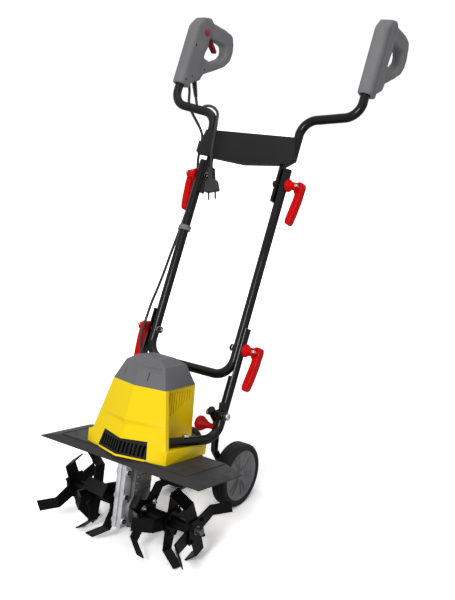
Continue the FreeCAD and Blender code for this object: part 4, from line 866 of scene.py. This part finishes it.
class TILLER_OT_wheels(TillerPiece, bpy.types.Operator):
    """Make the hubs and treaded tyres"""
    bl_idname = "tiller.wheels"
    bl_label = "Wheels"

    def execute(self, context):
        for side, sign in (("left", 1), ("right", -1)):
            crisp(f"wheel_rim_{side}", f"hub_{side}", f"wheel_{side}", "wheel_grey", 0.001, 2)
            ribs = [drum("hub_boss", AXLE, (101.5 * sign, 0, 0), (1, 0, 0), 13.0, 5.0, 40, 1.5)]
            for index in range(2 * SPOKES):
                spread = SPOKE_SPREAD if index % 2 else -SPOKE_SPREAD
                angle = math.radians(SPOKE_PITCH * (index // 2) + spread + FIRST_SPOKE)
                ribs.append(bar(f"rib_{index}", AXLE @ Matrix.Rotation(angle, 4, "X"),
                                (101.0 * sign, 0.0, 31.0), (4.0, 2.0, 42.0), 0.8))
            assemble(ribs, f"hub_ribs_{side}", f"wheel_{side}", "wheel_grey")
            tyre = copy_of(f"tyre_{side}", f"tyre_ring_{side}")
            grooves = []
            for x in GROOVES:
                bpy.ops.mesh.primitive_torus_add(
                    major_segments=64, minor_segments=8, major_radius=GROOVE_RADIUS * MM,
                    minor_radius=GROOVE_DEPTH * MM, location=AXLE @ Vector((x * sign, 0, 0)),
                    rotation=(0, math.radians(90), 0))
                grooves.append(bpy.context.object)
                set_down(grooves[-1])
            round_edges(tyre, 0.0035, 2)
            carve(tyre, grooves)
            smooth(tyre)
            seat(tyre, f"wheel_{side}", "tyre_dark")
            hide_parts(f"tyre_{side}")
        return {"FINISHED"}


class TILLER_OT_stage(TillerPiece, bpy.types.Operator):
    """Make the pale floor, the lights and the white surroundings"""
    bl_idname = "tiller.stage"
    bl_label = "Stage"

    def execute(self, context):
        let_go()
        bpy.ops.mesh.primitive_plane_add(size=2 * sizes().floor, location=(0, 0, 0))
        floor = bpy.context.object
        floor.name = "floor"
        material = bpy.data.materials.new("Studio floor white")
        material.use_nodes = True
        tree = material.node_tree
        tree.nodes.clear()
        matt = add(tree, "ShaderNodeBsdfDiffuse")
        bright = add(tree, "ShaderNodeEmission", Color=(1, 1, 1, 1))
        rays = add(tree, "ShaderNodeLightPath").outputs["Is Camera Ray"]
        # The camera sees the floor paler than it lights the machine, so that its lit part is
        # white and the shadow stays.
        pale = add(tree, "ShaderNodeMapRange", [(rays, "Value")], To_Min=0.8, To_Max=2.1)
        tree.links.new(pale.outputs["Result"], matt.inputs["Color"])
        place = add(tree, "ShaderNodeTexCoord").outputs["Object"]
        mapping = add(tree, "ShaderNodeMapping", [(place, "Vector")], Scale=(0.55, 0.55, 0.55))
        spot = add(tree, "ShaderNodeTexGradient", [(mapping.outputs["Vector"], "Vector")],
                   gradient_type="SPHERICAL")
        far = grade(tree, spot.outputs["Fac"], [(0.1, 1.0), (0.62, 0.0)])
        share = add(tree, "ShaderNodeMath", [(far, 0), (rays, 1)], operation="MULTIPLY")
        tree.links.new(share.outputs[0], bright.inputs["Strength"])
        mix = add(tree, "ShaderNodeAddShader", [(matt.outputs[0], 0), (bright.outputs[0], 1)])
        add(tree, "ShaderNodeOutputMaterial", [(mix.outputs[0], "Surface")])
        floor.data.materials.append(material)

        world = bpy.data.worlds.new("Studio")
        context.scene.world = world
        world.use_nodes = True
        tree = world.node_tree
        tree.nodes.clear()
        path = add(tree, "ShaderNodeLightPath")
        seen = path.outputs["Is Camera Ray"]
        for ray in ("Is Glossy Ray", "Is Transmission Ray"):
            seen = add(tree, "ShaderNodeMath", [(seen, 0), (path.outputs[ray], 1)],
                       operation="MAXIMUM").outputs[0]
        light = add(tree, "ShaderNodeBackground", Color=(1, 1, 1, 1), Strength=0.36)
        white = add(tree, "ShaderNodeBackground", Color=(1, 1, 1, 1), Strength=1.0)
        mix = add(tree, "ShaderNodeMixShader", [(seen, 0), (light.outputs[0], 1),
                                                (white.outputs[0], 2)])
        add(tree, "ShaderNodeOutputWorld", [(mix.outputs[0], "Surface")])

        for name, place, target, size, watts in (
                ("key_light", (1.0, -3.3, 2.3), (0, -0.1, 0.4), 0.9, 67.0),
                ("top_light", (0.3, -0.6, 3.4), (0, 0, 0.3), 2.4, 26.0)):
            bpy.ops.object.light_add(type="AREA", location=place)
            lamp = bpy.context.object
            lamp.name = name
            lamp.data.size = size
            lamp.data.energy = watts
            aim = Vector(target) - Vector(place)
            lamp.rotation_euler = aim.to_track_quat("-Z", "Y").to_euler()
        context.scene.view_settings.view_transform = "Standard"
        return {"FINISHED"}


class TILLER_PT_panel(bpy.types.Panel):
    """Lists the tiller's pieces, sizes and colours"""
    bl_idname = "TILLER_PT_panel"
    bl_label = "Electric tiller"
    bl_space_type = "VIEW_3D"
    bl_region_type = "UI"
    bl_category = "Tiller"

    def draw(self, context):
        layout = self.layout
        for operator in OPERATORS:
            layout.operator(operator.bl_idname)
        for group in (context.scene.tiller_sizes, context.scene.tiller_colours):
            box = layout.box()
            for key in group.__annotations__:
                box.prop(group, key)


OPERATORS = (
    TILLER_OT_camera, TILLER_OT_power_cord, TILLER_OT_motor_cable, TILLER_OT_housing,
    TILLER_OT_gearbox, TILLER_OT_tines, TILLER_OT_clamps, TILLER_OT_handle, TILLER_OT_grips,
    TILLER_OT_wheels, TILLER_OT_stage)
CLASSES = (TillerColours, TillerSizes, *OPERATORS, TILLER_PT_panel)


def register():
    for item in CLASSES:
        bpy.utils.register_class(item)
    bpy.types.Scene.tiller_colours = bpy.props.PointerProperty(type=TillerColours)
    bpy.types.Scene.tiller_sizes = bpy.props.PointerProperty(type=TillerSizes)


def unregister():
    del bpy.types.Scene.tiller_sizes
    del bpy.types.Scene.tiller_colours
    for item in reversed(CLASSES):
        bpy.utils.unregister_class(item)


def main():
    register()
    for row in frame["record"]["subparts"]:
        paint(NODES[row["node"]], row["material_slot"])
    let_go()
    for operator in OPERATORS:
        group, call = operator.bl_idname.split(".")
        getattr(getattr(bpy.ops, group), call)()
    bpy.context.view_layer.update()


if __name__ == "__main__":
    main()
